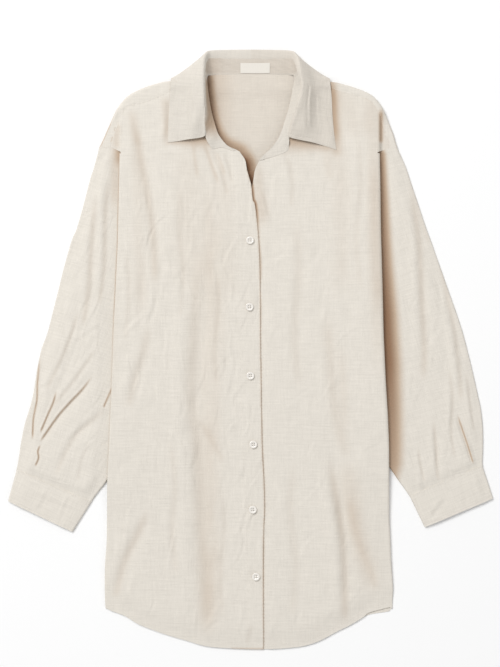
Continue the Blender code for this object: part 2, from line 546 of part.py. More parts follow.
def tube(side, outer, inner, start, end, rows, columns, edge, top, under):
    """A flattened tube between an outer and an inner edge. top and under give the height of its two faces."""
    t = np.linspace(0, 1, rows)[:, None]
    far, near = share(outer, t[:, 0]), share(inner, t[:, 0])
    width = np.linalg.norm(near - far, axis=1)[:, None]
    radius = edge / 2

    def place(s):
        s = np.broadcast_to(s, (rows, np.shape(s)[-1]))
        a, c = share(start, s), share(end, s)
        sides = (1 - s)[..., None] * far[:, None] + s[..., None] * near[:, None]
        ends = (1 - t)[..., None] * a + t[..., None] * c
        first = (1 - s)[..., None] * np.array(start[0], float) + s[..., None] * np.array(start[-1], float)
        last = (1 - s)[..., None] * np.array(end[0], float) + s[..., None] * np.array(end[-1], float)
        return sides + ends - (1 - t)[..., None] * first - t[..., None] * last

    inset = radius / width
    over = inset + (1 - 2 * inset) * np.linspace(0, 1, columns[0])
    below = inset + (1 - 2 * inset) * np.linspace(1, 0, columns[1])
    flat, low = place(over), place(below)
    from_edge = np.minimum(over - inset, 1 - inset - over) * width
    faces = [np.concatenate([flat, top(flat[..., 0], flat[..., 1], from_edge)[..., None]], axis=-1)]
    for at, away, angles in ((1 - inset, 1.0, (45, 90, 135)), (inset, 0.0, (135, 90, 45))):
        base = place(at)[:, 0]
        outward = place(np.full((rows, 1), away))[:, 0] - base
        outward /= np.linalg.norm(outward, axis=1)[:, None]
        rolled = turn(np.column_stack([base, np.full(rows, edge)]), outward, radius, angles)
        if away:
            faces.append(rolled)
            faces.append(np.concatenate([low, under(low[..., 0], low[..., 1])[..., None]], axis=-1))
        else:
            faces.append(rolled)
    return lattice(np.concatenate(faces, axis=1), flip=side == RIGHT, around=True)


def sleeve(side, rows, columns):
    if side == LEFT:
        outer, inner, armhole, cuff = OUTER_LEFT, INNER_LEFT, ARMHOLE_LEFT, CUFF_LEFT[:2]
    else:
        outer, inner, armhole, cuff = OUTER_RIGHT, INNER_RIGHT, ARMHOLE_RIGHT, (CUFF_RIGHT[1], CUFF_RIGHT[0])

    def top(x, y, from_edge):
        clear = smooth((side * (x - fold_x(side, y)) - 2) / 26)
        height = SLEEVE_EDGE + (0.4 + SLEEVE_LOFT * clear) * smooth(from_edge / 20)
        return np.maximum(height + folds(x, y, SLEEVE_FOLDS[side]) * clear * smooth(from_edge / 8), SLEEVE_EDGE - 0.3 * smooth(from_edge))

    end = [(p[0], p[1] + 0.6) for p in cuff]
    return tube(side, outer, inner, armhole, end, rows, columns, SLEEVE_EDGE, top, lambda x, y: 0 * x)


def cuff(side, rows, columns):
    corners = CUFF_LEFT if side == LEFT else tuple(CUFF_RIGHT[i] for i in (1, 0, 3, 2))
    button = CUFF_BUTTONS[side]

    def bump(x, y):
        return np.exp(-((np.hypot(x - button[0], y - button[1]) / 16) ** 2))

    def top(x, y, from_edge):
        return CUFF_EDGE + (CUFF_MIDDLE - CUFF_EDGE + 1.8 * bump(x, y)) * smooth(from_edge / 16)

    a, b, c, d = corners
    return tube(side, [a, d], [b, c], [a, b], [d, c], rows, columns, CUFF_EDGE, top, lambda x, y: 3.8 * bump(x, y))


def disc_levels(segments):
    turns = np.linspace(0, 2 * np.pi, segments, endpoint=False)
    return np.column_stack([np.cos(turns), np.sin(turns)])


def button(segments, hole_segments):
    """A button face up at the origin: a rim round a shallow dish, with four holes through it."""
    circle, small = disc_levels(segments), disc_levels(hole_segments) * HOLE_RADIUS
    centres = [(HOLE_OUT * a, HOLE_OUT * b) for a, b in ((1, 1), (-1, 1), (-1, -1), (1, -1))]
    holes = np.concatenate([small + centre for centre in centres])
    levels = ((0.84, 0.0), (1, 0.35), (1, 0.62), (0.93, 1), (0.76, 0.8))
    rings = [np.column_stack([circle * BUTTON_RADIUS * r, np.full(segments, z * BUTTON_THICK)]) for r, z in levels]
    patches = [lattice(np.array(rings), flip=True, around=True)]

    def plate(radius, z, up):
        rim = circle * radius
        flat = np.concatenate([rim, holes])
        loops = [(0, segments)] + [(segments + i * hole_segments, hole_segments) for i in range(4)]
        edges = [(a + i, a + (i + 1) % n) for a, n in loops for i in range(n)]
        _, _, faces, source, _, _ = delaunay_2d_cdt([Vector(p) for p in flat], edges, [], 1, 1e-6)
        kept = []
        for face in faces:
            face = [source[i][0] for i in face]
            middle = flat[face].mean(0)
            if min(np.hypot(*(middle - centre)) for centre in centres) < HOLE_RADIUS * 0.7:
                continue
            a, b, c = flat[face[:3]]
            ccw = (b[0] - a[0]) * (c[1] - a[1]) > (b[1] - a[1]) * (c[0] - a[0])
            kept.append(face if ccw == up else face[::-1])
        return np.column_stack([flat, np.full(len(flat), z)]), kept

    top_z = levels[-1][1] * BUTTON_THICK
    patches.append(plate(BUTTON_RADIUS * levels[-1][0], top_z, True))
    patches.append(plate(BUTTON_RADIUS * levels[0][0], 0.0, False))
    for i in range(4):
        hole = holes[i * hole_segments : (i + 1) * hole_segments]
        walls = [np.column_stack([hole, np.full(hole_segments, z)]) for z in (0.0, top_z)]
        patches.append(lattice(np.array(walls), around=True))
    return join(*patches)


def placed(patch, centre, normal):
    """A patch built at the origin, stood on a place along a normal."""
    points, faces = patch
    normal = np.asarray(normal, float) / np.linalg.norm(normal)
    first = np.cross((0, 1, 0), normal)
    first /= np.linalg.norm(first)
    second = np.cross(normal, first)
    return points @ np.array([first, second, normal]) + centre, faces


def material(name, colour, roughness):
    made = bpy.data.materials.new(name)
    made.use_nodes = True
    shader = next(n for n in made.node_tree.nodes if n.type == "BSDF_PRINCIPLED")
    shader.inputs["Base Color"].default_value = (*colour, 1)
    shader.inputs["Roughness"].default_value = roughness
    return made


def solid(name, patch, surface, thickness=0.0):
    """An object from a patch, thickened inwards where it is a cloth's face."""
    points, faces = patch
    mesh = bpy.data.meshes.new(name)
    mesh.from_pydata((np.asarray(points) * MM).tolist(), [], [tuple(int(i) for i in f) for f in faces])
    mesh.shade_smooth()
    mesh.materials.append(surface)
    thing = bpy.data.objects.new(name, mesh)
    if thickness:
        cloth = thing.modifiers.new("cloth", "SOLIDIFY")
        cloth.thickness = thickness * MM
        cloth.offset = -1
    shirt.objects.link(thing)
    return thing


for old in list(bpy.data.objects):
    bpy.data.objects.remove(old, do_unlink=True)
shirt = bpy.data.collections.new("linen_shirt")
bpy.context.scene.collection.children.link(shirt)
linen = material("linen", (0.80, 0.76, 0.69), 0.9)
pearl = material("pearl", (0.93, 0.91, 0.86), 0.3)
tape = material("label", (0.84, 0.81, 0.75), 0.8)

solid("back", back(30, 34), linen, CLOTH)
solid("yoke", yoke(26, 22), linen, CLOTH)
for side, word in ((LEFT, "left"), (RIGHT, "right")):
    solid("front_" + word, front(side, 13, 27), linen, CLOTH)
    solid("sleeve_" + word, sleeve(side, 21, (11, 5)), linen, CLOTH)
    solid("cuff_" + word, cuff(side, 5, (9, 8)), linen, CUFF_CLOTH)

solid("collar_stand", lattice(net(STAND, np.linspace(0, len(STAND) - 1, 41), (0, 0.5, 1))), linen, CLOTH)
leaf_columns = (0, 0.5, 1, 1.5, 2, 2.5, 3, 4, 5, 6)
solid("collar_leaf", lattice(net(LEAF, np.linspace(0, len(LEAF) - 1, 33), leaf_columns)), linen, CLOTH)
tag = net(STAND, np.linspace(14.56, 15.82, 5), (0.07, 0.4, 0.74)) + (0, 0, 0.35 + LABEL_CLOTH)
solid("label", lattice(tag), tape, LABEL_CLOTH)

disc = button(14, 5)
for i, (x, y) in enumerate(BUTTONS, 1):
    lie = [front_top(LEFT, np.array(x + dx), np.array(y + dy)) for dx, dy in ((0, 0), (-4, 0), (4, 0), (0, -4), (0, 4))]
    normal = ((lie[1] - lie[2]) / 8, (lie[3] - lie[4]) / 8, 1)
    solid(f"button_{i}", placed(disc, (x, y, lie[0] + 0.5), normal), pearl)
for side, word in ((LEFT, "left"), (RIGHT, "right")):
    solid("cuff_button_" + word, placed(disc, (*CUFF_BUTTONS[side], 0.2 + BUTTON_THICK), (0, 0, -1)), pearl)
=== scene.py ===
"""Looks of the linen shirt: each piece of its cloth as a thin shell on its solid's form, with creases, hems,
stitching and buttons.

Millimetres in the tables, metres in the scene. +Y runs to the collar, +X to the right as the front is seen,
+Z up out of the front, and z = 0 is the surface that it lies on. Left and right are as the front is seen.
"""

import math

import bpy
import numpy as np
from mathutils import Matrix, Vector
from mathutils.bvhtree import BVHTree
from mathutils.geometry import delaunay_2d_cdt


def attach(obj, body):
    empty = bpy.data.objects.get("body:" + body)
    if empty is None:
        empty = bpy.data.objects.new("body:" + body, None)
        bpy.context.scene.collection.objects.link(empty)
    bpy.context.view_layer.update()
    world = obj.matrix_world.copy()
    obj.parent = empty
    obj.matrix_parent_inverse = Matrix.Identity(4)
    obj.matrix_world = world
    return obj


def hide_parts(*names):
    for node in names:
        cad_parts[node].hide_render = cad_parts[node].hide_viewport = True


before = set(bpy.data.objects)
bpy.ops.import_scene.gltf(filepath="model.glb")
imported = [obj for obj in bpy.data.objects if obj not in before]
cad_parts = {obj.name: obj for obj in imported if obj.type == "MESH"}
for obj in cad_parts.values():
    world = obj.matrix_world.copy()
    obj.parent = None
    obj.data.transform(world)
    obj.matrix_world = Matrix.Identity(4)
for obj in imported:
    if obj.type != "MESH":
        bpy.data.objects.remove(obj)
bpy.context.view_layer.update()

MM = 0.001
CLOTH, CUFF_CLOTH, LABEL_CLOTH = 1.2, 1.4, 0.5
SEAM = -1.2  # how far one piece laps another that it is sewn to, as a gap
LEFT, RIGHT = -1, 1
TURN = tuple(range(0, 181, 12))  # degrees round a fold
YOKE_BACK = 261.0  # where the yoke meets the back, under the shirt
SIDE_TOP, ARMPIT, SIDE_LOW = 284, 65, -374  # heights down each side
SIDE_STEP, STATIONS = 3.5, 90  # the step down each side, and the places along each shoulder
MIDDLE = 15  # x, where the two fronts meet
PLACKET_TOP, SLEEVE_HEAD = 262, 262  # y, where the neck's V and a sleeve's head start

# Outlines, (x, y), by side. The folds are where the body turns under. The hems run from left to right. Every
# other line runs down the shirt, but for the shoulders and the left neck, which run up.
FOLD = {
    LEFT: (
        (-189.9, 287.1), (-190.7, 246.5), (-191.4, 217.5), (-192.4, 159.5), (-195.8, 87), (-198.7, 29),
        (-201.5, -50.8), (-205.2, -139.2), (-207.8, -188.5), (-208.8, -275.5), (-211.3, -310.3),
        (-212.1, -362.5), (-211.7, -374.1),
    ),
    RIGHT: (
        (185.6, 287.1), (187, 217.5), (187.9, 160.9), (189.9, 87), (191.4, 29), (194.3, -42),
        (197.6, -92.8), (199.5, -139.2), (199.8, -188.5), (200.1, -240.7), (203, -304.5), (205.9, -345.1),
        (205.9, -374.1),
    ),
}
HEM = {
    LEFT: (
        (-211.7, -374.1), (-195.8, -379.9), (-181.2, -385.7), (-162.4, -397.3), (-131.9, -408.9),
        (-111.6, -415.4), (-91.3, -421.2), (-66.7, -428.5), (-37.7, -431.4), (-7.2, -432.8), (18.1, -433.3),
    ),
    RIGHT: (
        (18.1, -433.3), (24.6, -433), (47.9, -431.8), (75.4, -428.5), (98.6, -421.2), (121.8, -408.9),
        (145, -397.3), (163.8, -385.7), (169.7, -380.6), (187, -375.6), (205.9, -371.2),
    ),
}
BACK_HEM = (
    (-211.7, -374.1), (-195.8, -379.9), (-181.2, -385.7), (-162.4, -397.3), (-131.9, -408.9),
    (-91.3, -421.2), (-37.7, -430.6), (18.1, -432.1), (75.4, -428.5), (121.8, -408.9), (145, -397.3),
    (163.8, -386.4), (175.4, -382.2), (200.1, -378.4), (205.9, -374.1),
)
OPENING = {
    LEFT: (
        (-16.8, 286.8), (-8.7, 274.8), (-5.8, 260.1), (0, 239.2), (2.5, 217.5), (5.8, 208.8), (10.2, 168.9),
        (11.3, 150.8), (12.5, 120.3), (13.3, 65.2), (13.6, 8.7), (14.5, -58), (15.9, -139.2),
        (18.1, -182.7), (19.4, -227.7), (18, -261), (17.4, -327.7), (17.8, -391.5), (18.1, -433.3),
    ),
    RIGHT: (
        (8, 266.1), (5.2, 258.1), (3.5, 246.5), (1.4, 234.9), (-2.2, 217.5), (-8, 188.5), (-13.8, 152.2),
        (-17.4, 116), (-19.4, 65.2), (-19.7, 8.7), (-18.8, -58), (-17.4, -139.2), (-15.2, -182.7),
        (-13.9, -227.7), (-15.4, -261), (-15.9, -327.7), (-15.5, -391.5), (-15.2, -433),
    ),
}
NECK = {
    LEFT: (
        (-16.8, 286.8), (-22.5, 289.9), (-30.5, 292.9), (-37.6, 296.9), (-44.1, 304), (-49.6, 312.5),
        (-53, 322), (-55.6, 331.5), (-58.6, 345), (-61.1, 360), (-63.2, 376), (-65, 391.8),
    ),
    RIGHT: (
        (64.5, 393.4), (61.6, 378), (59, 364), (55.5, 348), (51, 332), (46.5, 317), (40.5, 303.5),
        (32, 292.5), (21.5, 282.5), (12.5, 273.5), (8, 266.1),
    ),
}
YOKE_SEAM = {
    LEFT: (
        (-65, 391.8), (-74.2, 390.1), (-88.5, 385), (-103, 379.9), (-117.5, 374.1), (-131.9, 366.4),
        (-147.9, 359.6), (-165.3, 354.8), (-176.9, 351.9), (-183.4, 346.6), (-187.8, 338.6),
        (-191.4, 329.1), (-195.8, 317.6), (-200.1, 305.2), (-203.7, 293.9),
    ),
    RIGHT: (
        (64.5, 393.4), (72.5, 391.5), (87, 387.1), (103, 382.1), (121.8, 375.8), (137.8, 371.2),
        (153.7, 366.8), (166.8, 363.2), (175.4, 358.1), (180.5, 350.2), (184.9, 339.3), (189.2, 326.2),
        (193.6, 313.2), (197.9, 301.6), (201.5, 292.2),
    ),
}
SHOULDER = {
    LEFT: (
        (-219.9, 292.6), (-216.9, 298.4), (-212.4, 308.1), (-208.1, 318.3), (-203.7, 327.7),
        (-200.1, 336.4), (-195.8, 345.8), (-189.2, 355.5), (-181.2, 364.7), (-172.5, 371.2), (-160.9, 377),
        (-146.4, 382.5), (-127.6, 387.8), (-113.1, 389.5), (-98.6, 391.5), (-84.1, 394.5), (-72.5, 398),
        (-65.6, 400),
    ),
    RIGHT: (
        (212, 292.8), (209.5, 300.1), (205.9, 313.2), (201.5, 324.1), (197.2, 334.9), (193.6, 343.6),
        (188.5, 353.1), (183.4, 360.3), (176.2, 367.6), (168.2, 372.4), (158, 376.7), (142.1, 382.2),
        (124.7, 387), (110.2, 388), (95.7, 390.2), (81.2, 394), (71.2, 397.8), (65.2, 399.8),
    ),
}
ARMHOLE = {
    LEFT: (
        (-221.8, 288.6), (-204.5, 292.6), (-188.6, 285.8), (-175.4, 239.2), (-160.9, 181.2),
        (-147.9, 123.2), (-134.8, 65.2),
    ),
    RIGHT: (
        (213.6, 288.6), (203, 289.3), (184.9, 285.6), (171.1, 239.2), (156.6, 181.2), (143.5, 123.2),
        (130.5, 65.2),
    ),
}
OUTER = {
    LEFT: (
        (-221.8, 288.6), (-227.7, 263.9), (-233.4, 246.5), (-242.2, 211.7), (-252.3, 176.9),
        (-259.6, 159.5), (-269.7, 124.7), (-278.4, 89.9), (-287.1, 55.1), (-294.9, 24.6), (-303.1, 2.9),
        (-308.8, -21.8), (-312.2, -43.5), (-315.5, -63.8), (-320.4, -84.1), (-326.2, -101.5),
        (-330.3, -118.9), (-333.5, -136.3), (-336.4, -156.6), (-339.3, -172.5),
    ),
    RIGHT: (
        (213.6, 288.6), (224.8, 263.9), (230.5, 246.5), (242.2, 211.7), (253.8, 176.9), (260.3, 159.5),
        (272.6, 124.7), (284.9, 89.9), (297.2, 55.1), (307.4, 23.2), (316.1, -10.2), (322.6, -37.7),
        (328.4, -63.8), (332.8, -84.1), (335.4, -107.3), (336.1, -130.5), (335.7, -149.3), (334.9, -165.7),
    ),
}
INNER = {
    LEFT: (
        (-134.8, 65.2), (-140.7, 14.5), (-150.8, -43.5), (-163.8, -101.5), (-182.7, -147.9),
        (-207.6, -187.8), (-220.4, -204.4), (-231.3, -219.2),
    ),
    RIGHT: (
        (130.5, 65.2), (136.3, 14.5), (146.4, -43.5), (159.5, -98.6), (176.9, -139.2), (199.8, -168.9),
        (213.2, -188.5), (229.1, -210.2),
    ),
}
CUFF = {  # corners: outer and inner at the sleeve, then inner and outer at the hand
    LEFT: (
        (-339.3, -173.1), (-231.3, -219.8), (-258.4, -263.3), (-351.8, -218.7),
    ),
    RIGHT: (
        (334.9, -166.5), (229.4, -210.8), (251.4, -256.4), (350.6, -214.6),
    ),
}
NECK_BACK = (
    (-61.5, 396.8), (-55, 401.5), (-30.4, 402), (0, 402), (30.4, 402), (54, 401.5), (60.5, 396.8),
)
FRONT_CORNER = {LEFT: (-188.6, 286.4), RIGHT: (184.4, 286.4)}  # where a front, its yoke and its sleeve meet
BUTTONS = (
    (-1.4, 158.5), (-2, 62.4), (-0.9, -37), (3.3, -136.3), (2.6, -230.5), (7.1, -327.4),
)
LEAF = (
    ((-64.9, 310.2, 14), (-66.4, 308.6, 14.9), (-69.5, 307, 14.5), (-78.3, 305.2, 13.6),
     (-91.3, 303.5, 15.5), (-105.8, 301.3, 12.9), (-120.3, 299.4, 11.8)),
    ((-65.3, 331.5, 20.8), (-67, 331.8, 22.2), (-70.4, 331.6, 21.6), (-79.8, 329.1, 21.5),
     (-92.8, 327, 15.8), (-105.8, 324.8, 12.7), (-119.8, 323.3, 11.4)),
    ((-65.9, 355.5, 26.7), (-67.7, 355.5, 28.4), (-71.4, 354, 27.9), (-81.2, 351.6, 23),
     (-93.1, 349.4, 16.5), (-105.8, 348, 12.6), (-118.9, 346.6, 11.2)),
    ((-66.5, 377.8, 27.4), (-68.4, 378.6, 29.3), (-72, 378.2, 28.9), (-82.2, 375.6, 24),
     (-92.8, 372.6, 17), (-105.1, 369, 12.6), (-117.7, 365.4, 10.9)),
    ((-66.3, 397.6, 26.2), (-68.2, 399.4, 28.1), (-71.4, 399.5, 27.7), (-79.8, 397.3, 22.5),
     (-91.3, 393.4, 15.5), (-103.7, 388.6, 11.6), (-116.3, 383.5, 10.5)),
    ((-64.8, 412.6, 20.9), (-66.7, 416.2, 22.7), (-69.8, 417.6, 22.2), (-77.9, 414, 17),
     (-89.9, 407.4, 11), (-103, 399.8, 7.5), (-114.5, 393.5, 6)),
    ((-61.4, 420.8, 14), (-62.9, 427.3, 15.6), (-65.5, 428.9, 13.8), (-74, 422.2, 7.5),
     (-86.3, 411.8, 2.8), (-98.6, 399.3, 0.6), (-106.6, 386.4, 0)),
    ((-54.7, 422.3, 9.8), (-56.1, 430.8, 10.4), (-58.7, 432.4, 7.2), (-65.2, 425.6, 2),
     (-74, 412.5, 0.2), (-79.8, 396.6, 0), (-84.1, 381.3, 0)),
    ((-33.5, 422, 6.8), (-33.9, 432.3, 6.5), (-34.8, 433.8, 3.6), (-37, 427.8, 0.3),
     (-39.9, 414.7, 0), (-42, 398.8, 0), (-43.5, 382.8, 0)),
    ((0, 421.7, 6.1), (0, 432.6, 5.7), (0, 434.4, 3.1), (0, 428.5, 0.1),
     (0, 414.7, 0), (0, 398.8, 0), (0, 382.8, 0)),
    ((32.7, 422, 6.8), (33.4, 432.3, 6.5), (34.2, 433.7, 3.6), (36.2, 427.8, 0.3),
     (39.1, 414.7, 0), (41.3, 398.8, 0), (42.8, 382.8, 0)),
    ((53.4, 422.1, 9.8), (54.8, 430.8, 10.4), (57.3, 432.1, 7.2), (63.8, 425.3, 2),
     (72.5, 412.2, 0.2), (78.3, 396.3, 0), (82.6, 381.3, 0)),
    ((60.4, 420.2, 14), (62.4, 426.8, 15.6), (64.7, 428, 13.8), (72.5, 421.1, 7.5),
     (84.8, 410.3, 2.8), (97.1, 398, 0.6), (105.1, 385.7, 0)),
    ((64.4, 411.6, 20.7), (66.8, 415.2, 22.5), (70, 416.4, 22.1), (77.6, 412.4, 17),
     (89.2, 406, 11), (101.8, 398.8, 7.8), (113.4, 392.7, 6.2)),
    ((68, 397, 26), (70.2, 398, 27.9), (73.6, 397.4, 27.3), (81, 395.8, 22.5),
     (91.3, 392.1, 15.5), (103, 387.7, 12.2), (114.5, 382.8, 11.3)),
    ((71.3, 376.5, 27.2), (73.3, 376, 29), (76.6, 375, 28.4), (84, 372.6, 24),
     (93.2, 370.5, 17.5), (104.4, 368.3, 12.8), (116.4, 366, 11.2)),
    ((65.8, 351.6, 26.6), (67.8, 350.6, 28.3), (71.6, 349, 27.7), (81, 345.6, 23.5),
     (92.4, 343.1, 17), (105.1, 341.5, 13.2), (117.7, 339.9, 11.7)),
    ((58.4, 327.6, 20.4), (60.4, 326.6, 22), (65, 325, 21.5), (77, 322.2, 21.8),
     (90.6, 319.5, 16.3), (105.1, 317.3, 13.1), (119.8, 315.2, 12)),
    ((54.2, 308.6, 14), (55.8, 306.8, 15), (60.5, 305, 14.6), (74, 302.2, 13.8),
     (89.3, 299.2, 15.5), (105.8, 294.6, 13.2), (123.2, 289, 12.3)),
)
STAND = (
    ((-22.5, 288.9, 9.6), (-26.5, 287.4, 10.4)),
    ((-30, 292, 9.8), (-36.5, 291.2, 11.0)),
    ((-37, 296, 10.1), (-45, 292.6, 11.7)),
    ((-43.4, 303.2, 10.2), (-53.6, 291.2, 11.6)),
    ((-48.9, 312, 10.4), (-60.6, 300.4, 12.8)),
    ((-52.2, 321.6, 10.7), (-64.3, 309.6, 13.2)),
    ((-54.8, 331.2, 10.7), (-64.8, 324, 18.6)),
    ((-57.8, 345, 10.7), (-65.3, 341.5, 24.6)),
    ((-60.3, 360, 10.6), (-65.9, 359, 25.6)),
    ((-62.3, 376.5, 10.4), (-66.3, 378, 26)),
    ((-63.4, 390.5, 9.9), (-66, 396.5, 24.9)),
    ((-62.6, 397.4, 7.6), (-64.4, 411.6, 19.6)),
    ((-59, 398.9, 5.4), (-61.1, 419.6, 12.8)),
    ((-52, 399.1, 4.2), (-54.4, 421, 8.8)),
    ((-33, 399.1, 3.8), (-33.4, 420.8, 6.2)),
    ((0, 399, 3.6), (0, 420.6, 5.6)),
    ((32, 399.1, 3.8), (32.6, 420.8, 6.2)),
    ((51, 399.1, 4.2), (53.2, 420.8, 8.8)),
    ((58, 398.9, 5.4), (60.1, 419, 12.8)),
    ((61.8, 397.4, 7.6), (63.9, 410.6, 19.4)),
    ((62.8, 390.5, 9.9), (67.6, 396, 24.8)),
    ((60.8, 376.5, 10.4), (70.9, 377, 25.9)),
    ((58.2, 362, 10.6), (67.6, 360, 25.7)),
    ((54.6, 346.5, 10.7), (62.6, 342.5, 24.2)),
    ((50, 331, 10.7), (57.8, 326, 18.4)),
    ((45.5, 316, 10.7), (54, 309.2, 13.2)),
    ((39.4, 302.6, 10.3), (53, 297, 12.6)),
    ((31, 291.8, 10.2), (51, 287.2, 11.3)),
    ((21, 282.4, 10), (36, 280.6, 11.3)),
    ((12.2, 273.6, 9.7), (19, 275.6, 10.4)),
)

# Each side of the body, down its fold: y, the top of the cloth, the face of the part folded under, and how
# far that part comes back in.
SIDES = {
    LEFT: (
        (287, 8.8, 4.8, 0.6), (200, 9.0, 4.8, 25), (65, 9.2, 4.8, 62), (-100, 9.0, 4.8, 39),
        (-195, 8.6, 4.8, 26), (-250, 5.4, 0.0, 18), (-374, 4.8, 0.0, 0.6),
    ),
    RIGHT: (
        (287, 12.5, 4.8, 0.6), (200, 15.5, 4.8, 22), (65, 16.0, 4.8, 55), (-100, 14.5, 4.8, 35),
        (-175, 12.0, 4.8, 26), (-240, 7.4, 0.0, 17), (-374, 5.4, 0.0, 0.6),
    ),
}
# How high the top of each front lies: y, then its height from the side fold in to the middle of the body.
ACROSS = (0, 0.12, 0.3, 0.55, 0.8, 1)
RISE = {
    LEFT: (
        (390, 8.6, 8.6, 8.6, 8.6, 8.6, 8.6), (300, 8.8, 9.4, 9.4, 9.2, 9.0, 9.0),
        (200, 9.0, 9.8, 9.4, 8.8, 8.8, 8.8), (65, 9.2, 10, 9.6, 8.8, 8.6, 8.4),
        (-100, 9.0, 9.6, 9.0, 8.2, 8.2, 8.2), (-195, 8.6, 8.9, 8.2, 7.8, 7.8, 7.8),
        (-250, 5.4, 6.6, 7.2, 7.4, 7.4, 7.6), (-374, 4.8, 5.4, 6.2, 6.8, 7.0, 7.2),
        (-434, 4.8, 5.2, 5.8, 6.4, 6.8, 7.0),
    ),
    RIGHT: (
        (390, 8.6, 8.6, 8.6, 8.6, 8.6, 8.6), (300, 12.5, 12, 10.4, 9.2, 9.0, 9.0),
        (200, 15.5, 14.5, 11.6, 9.6, 9.2, 9.0), (65, 16, 15, 12, 9.8, 9.2, 9.0),
        (-100, 14.5, 13.6, 11, 9.4, 8.8, 8.6), (-175, 12, 11.8, 10.2, 9.0, 8.4, 8.2),
        (-240, 7.4, 8.4, 8.8, 8.4, 8.2, 8.0), (-374, 5.4, 6.0, 7.0, 7.2, 7.2, 7.4),
        (-434, 5.4, 5.6, 6.4, 7.0, 7.0, 7.2),
    ),
}
# The largest soft folds: half width, depth (below nothing a valley), and the line that each runs along.
FRONT_FOLDS = {
    LEFT: (
        (9, -1.7, ((-172, 340), (-167, 275), (-156, 204), (-151, 170), (-158, 90), (-160, 10))),
        (13, -2.4, ((-64, 110), (-72, 0), (-74, -100), (-70, -250), (-66, -330), (-64, -428))),
        (11, 1.2, ((-103, 60), (-106, -60), (-104, -200), (-96, -330), (-90, -420))),
        (10, -1.5, ((-160, -235), (-176, -275), (-192, -315), (-204, -362))),
        (6, -1.3, ((-62, 290), (-54, 262), (-46, 236))),
    ),
    RIGHT: (
        (10, -2.2, ((112, -110), (124, -190), (138, -262), (156, -292), (175, -322), (178, -368))),
        (9, 1.4, ((104, -190), (114, -260), (123, -330), (126, -398))),
        (7, -1.0, ((16, 264), (24, 236), (28, 214))),
    ),
}
SLEEVE_FOLDS = {
    LEFT: (
        (7, -1.8, ((-232, -38), (-246, -60), (-268, -86), (-286, -106), (-304, -136))),
        (6, -1.3, ((-255, 14), (-268, -30), (-284, -64), (-296, -98), (-306, -122))),
        (5, -1.2, ((-303, -10), (-310, -62), (-314, -94), (-316, -130))),
        (7, -1.0, ((-220, -94), (-248, -122), (-272, -148), (-285, -178))),
    ),
    RIGHT: (
        (7, -1.7, ((292, -72), (304, -108), (318, -142), (323, -164))),
        (6, -0.9, ((265, -113), (270, -164), (274, -194))),
        (9, -1.2, ((262, 130), (276, 60), (284, -10), (286, -60))),
    ),
}
SLEEVE_EDGE, SLEEVE_LOFT = 3.8, 3.4  # height at its edges, and what the middle adds where nothing lies on it
CUFF_EDGE, CUFF_MIDDLE = 4.4, 5.6

BUTTON_RADIUS, BUTTON_THICK, HOLE_RADIUS, HOLE_OUT = 5.75, 2.2, 0.8, 1.35
STRAND_RADIUS, STRAND_LOW, STRAND_RISE = 0.42, 1.0, 1.1  # the thread over each button
BUTTON_OFF = 0.5  # how far off the cloth a button's back is
BUTTON_TOUCH = ((0, 0), (-5, 0), (5, 0), (0, -5), (0, 5))  # where a button meets the cloth that it lies on
# A button's section, from its back edge round to its dish, as shares of its radius and its thickness.
BUTTON_RINGS = ((0.84, 0.0), (1, 0.35), (1, 0.62), (0.93, 1), (0.76, 0.8))
CUFF_BUTTONS = {LEFT: (-327.3, -204.2), RIGHT: (324.4, -198.3)}

# What only the looks have. Creases: half width, ridge, valley, and the line that each runs down. The ridge is
# on the left of the line as the front is seen, and the valley on its right.
FRONT_CREASES = {
    LEFT: (
        (9, 1.5, 1.5, ((-172, 352), (-166, 300), (-154, 235), (-144, 165), (-141, 90))),
        (5, 0.9, 0.9, ((-123, 372), (-121, 345), (-123, 312), (-126, 290))),
        (4.5, 0.8, 1.2, ((-60, 296), (-52, 275), (-42, 250), (-35, 222))),
        (4, 0.5, 0.9, ((-43, 288), (-35, 270), (-28, 240))),
        (14, 1.0, 1.1, ((-80, 170), (-82, 108), (-87, 24), (-90, -73), (-82, -137), (-78, -234), (-72, -330),
                        (-68, -425))),
        (9, 0.9, 0.9, ((-150, 40), (-158, -2), (-170, -40), (-180, -85))),
        (9, 1.3, 1.4, ((-150, -225), (-164, -260), (-186, -306), (-200, -362))),
        (8, -0.8, -0.8, ((-92, -80), (-78, -105), (-60, -128), (-42, -165))),
        (6, 0.5, 0.5, ((-104, 250), (-106, 180), (-100, 110), (-104, 40))),
        (5, 0.5, 0.6, ((-52, 130), (-48, 70), (-54, 0), (-50, -60))),
        (7, 0.6, 0.6, ((-120, -120), (-112, -190), (-116, -260), (-110, -330))),
        (5, 0.45, 0.5, ((-44, -200), (-40, -260), (-46, -320), (-42, -390))),
        (6, 0.5, 0.5, ((-182, 150), (-178, 80), (-184, 10))),
        (5, 0.5, 0.6, ((0, -395), (-4, -412), (-9, -424))),
    ),
    RIGHT: (
        (4, 0.5, 0.6, ((14, 232), (20, 212), (25, 190))),
        (12, 0.9, 0.9, ((104, 60), (110, 0), (114, -55), (122, -112), (138, -160))),
        (9, 1.6, 1.7, ((110, -150), (118, -200), (127, -255), (132, -318), (133, -400))),
        (10, -0.9, -0.8, ((136, -200), (148, -262), (166, -312), (180, -352))),
        (10, 0.6, 0.6, ((60, 200), (66, 120), (60, 30), (66, -60))),
        (9, 0.5, 0.6, ((60, -150), (54, -230), (62, -310), (56, -390))),
        (7, 0.5, 0.5, ((150, 330), (156, 250), (150, 160), (156, 80))),
        (6, 0.7, 0.7, ((108, 372), (112, 340), (118, 305), (116, 270))),
        (6, 0.6, 0.7, ((40, 292), (52, 272), (58, 240), (56, 205))),
    ),
}
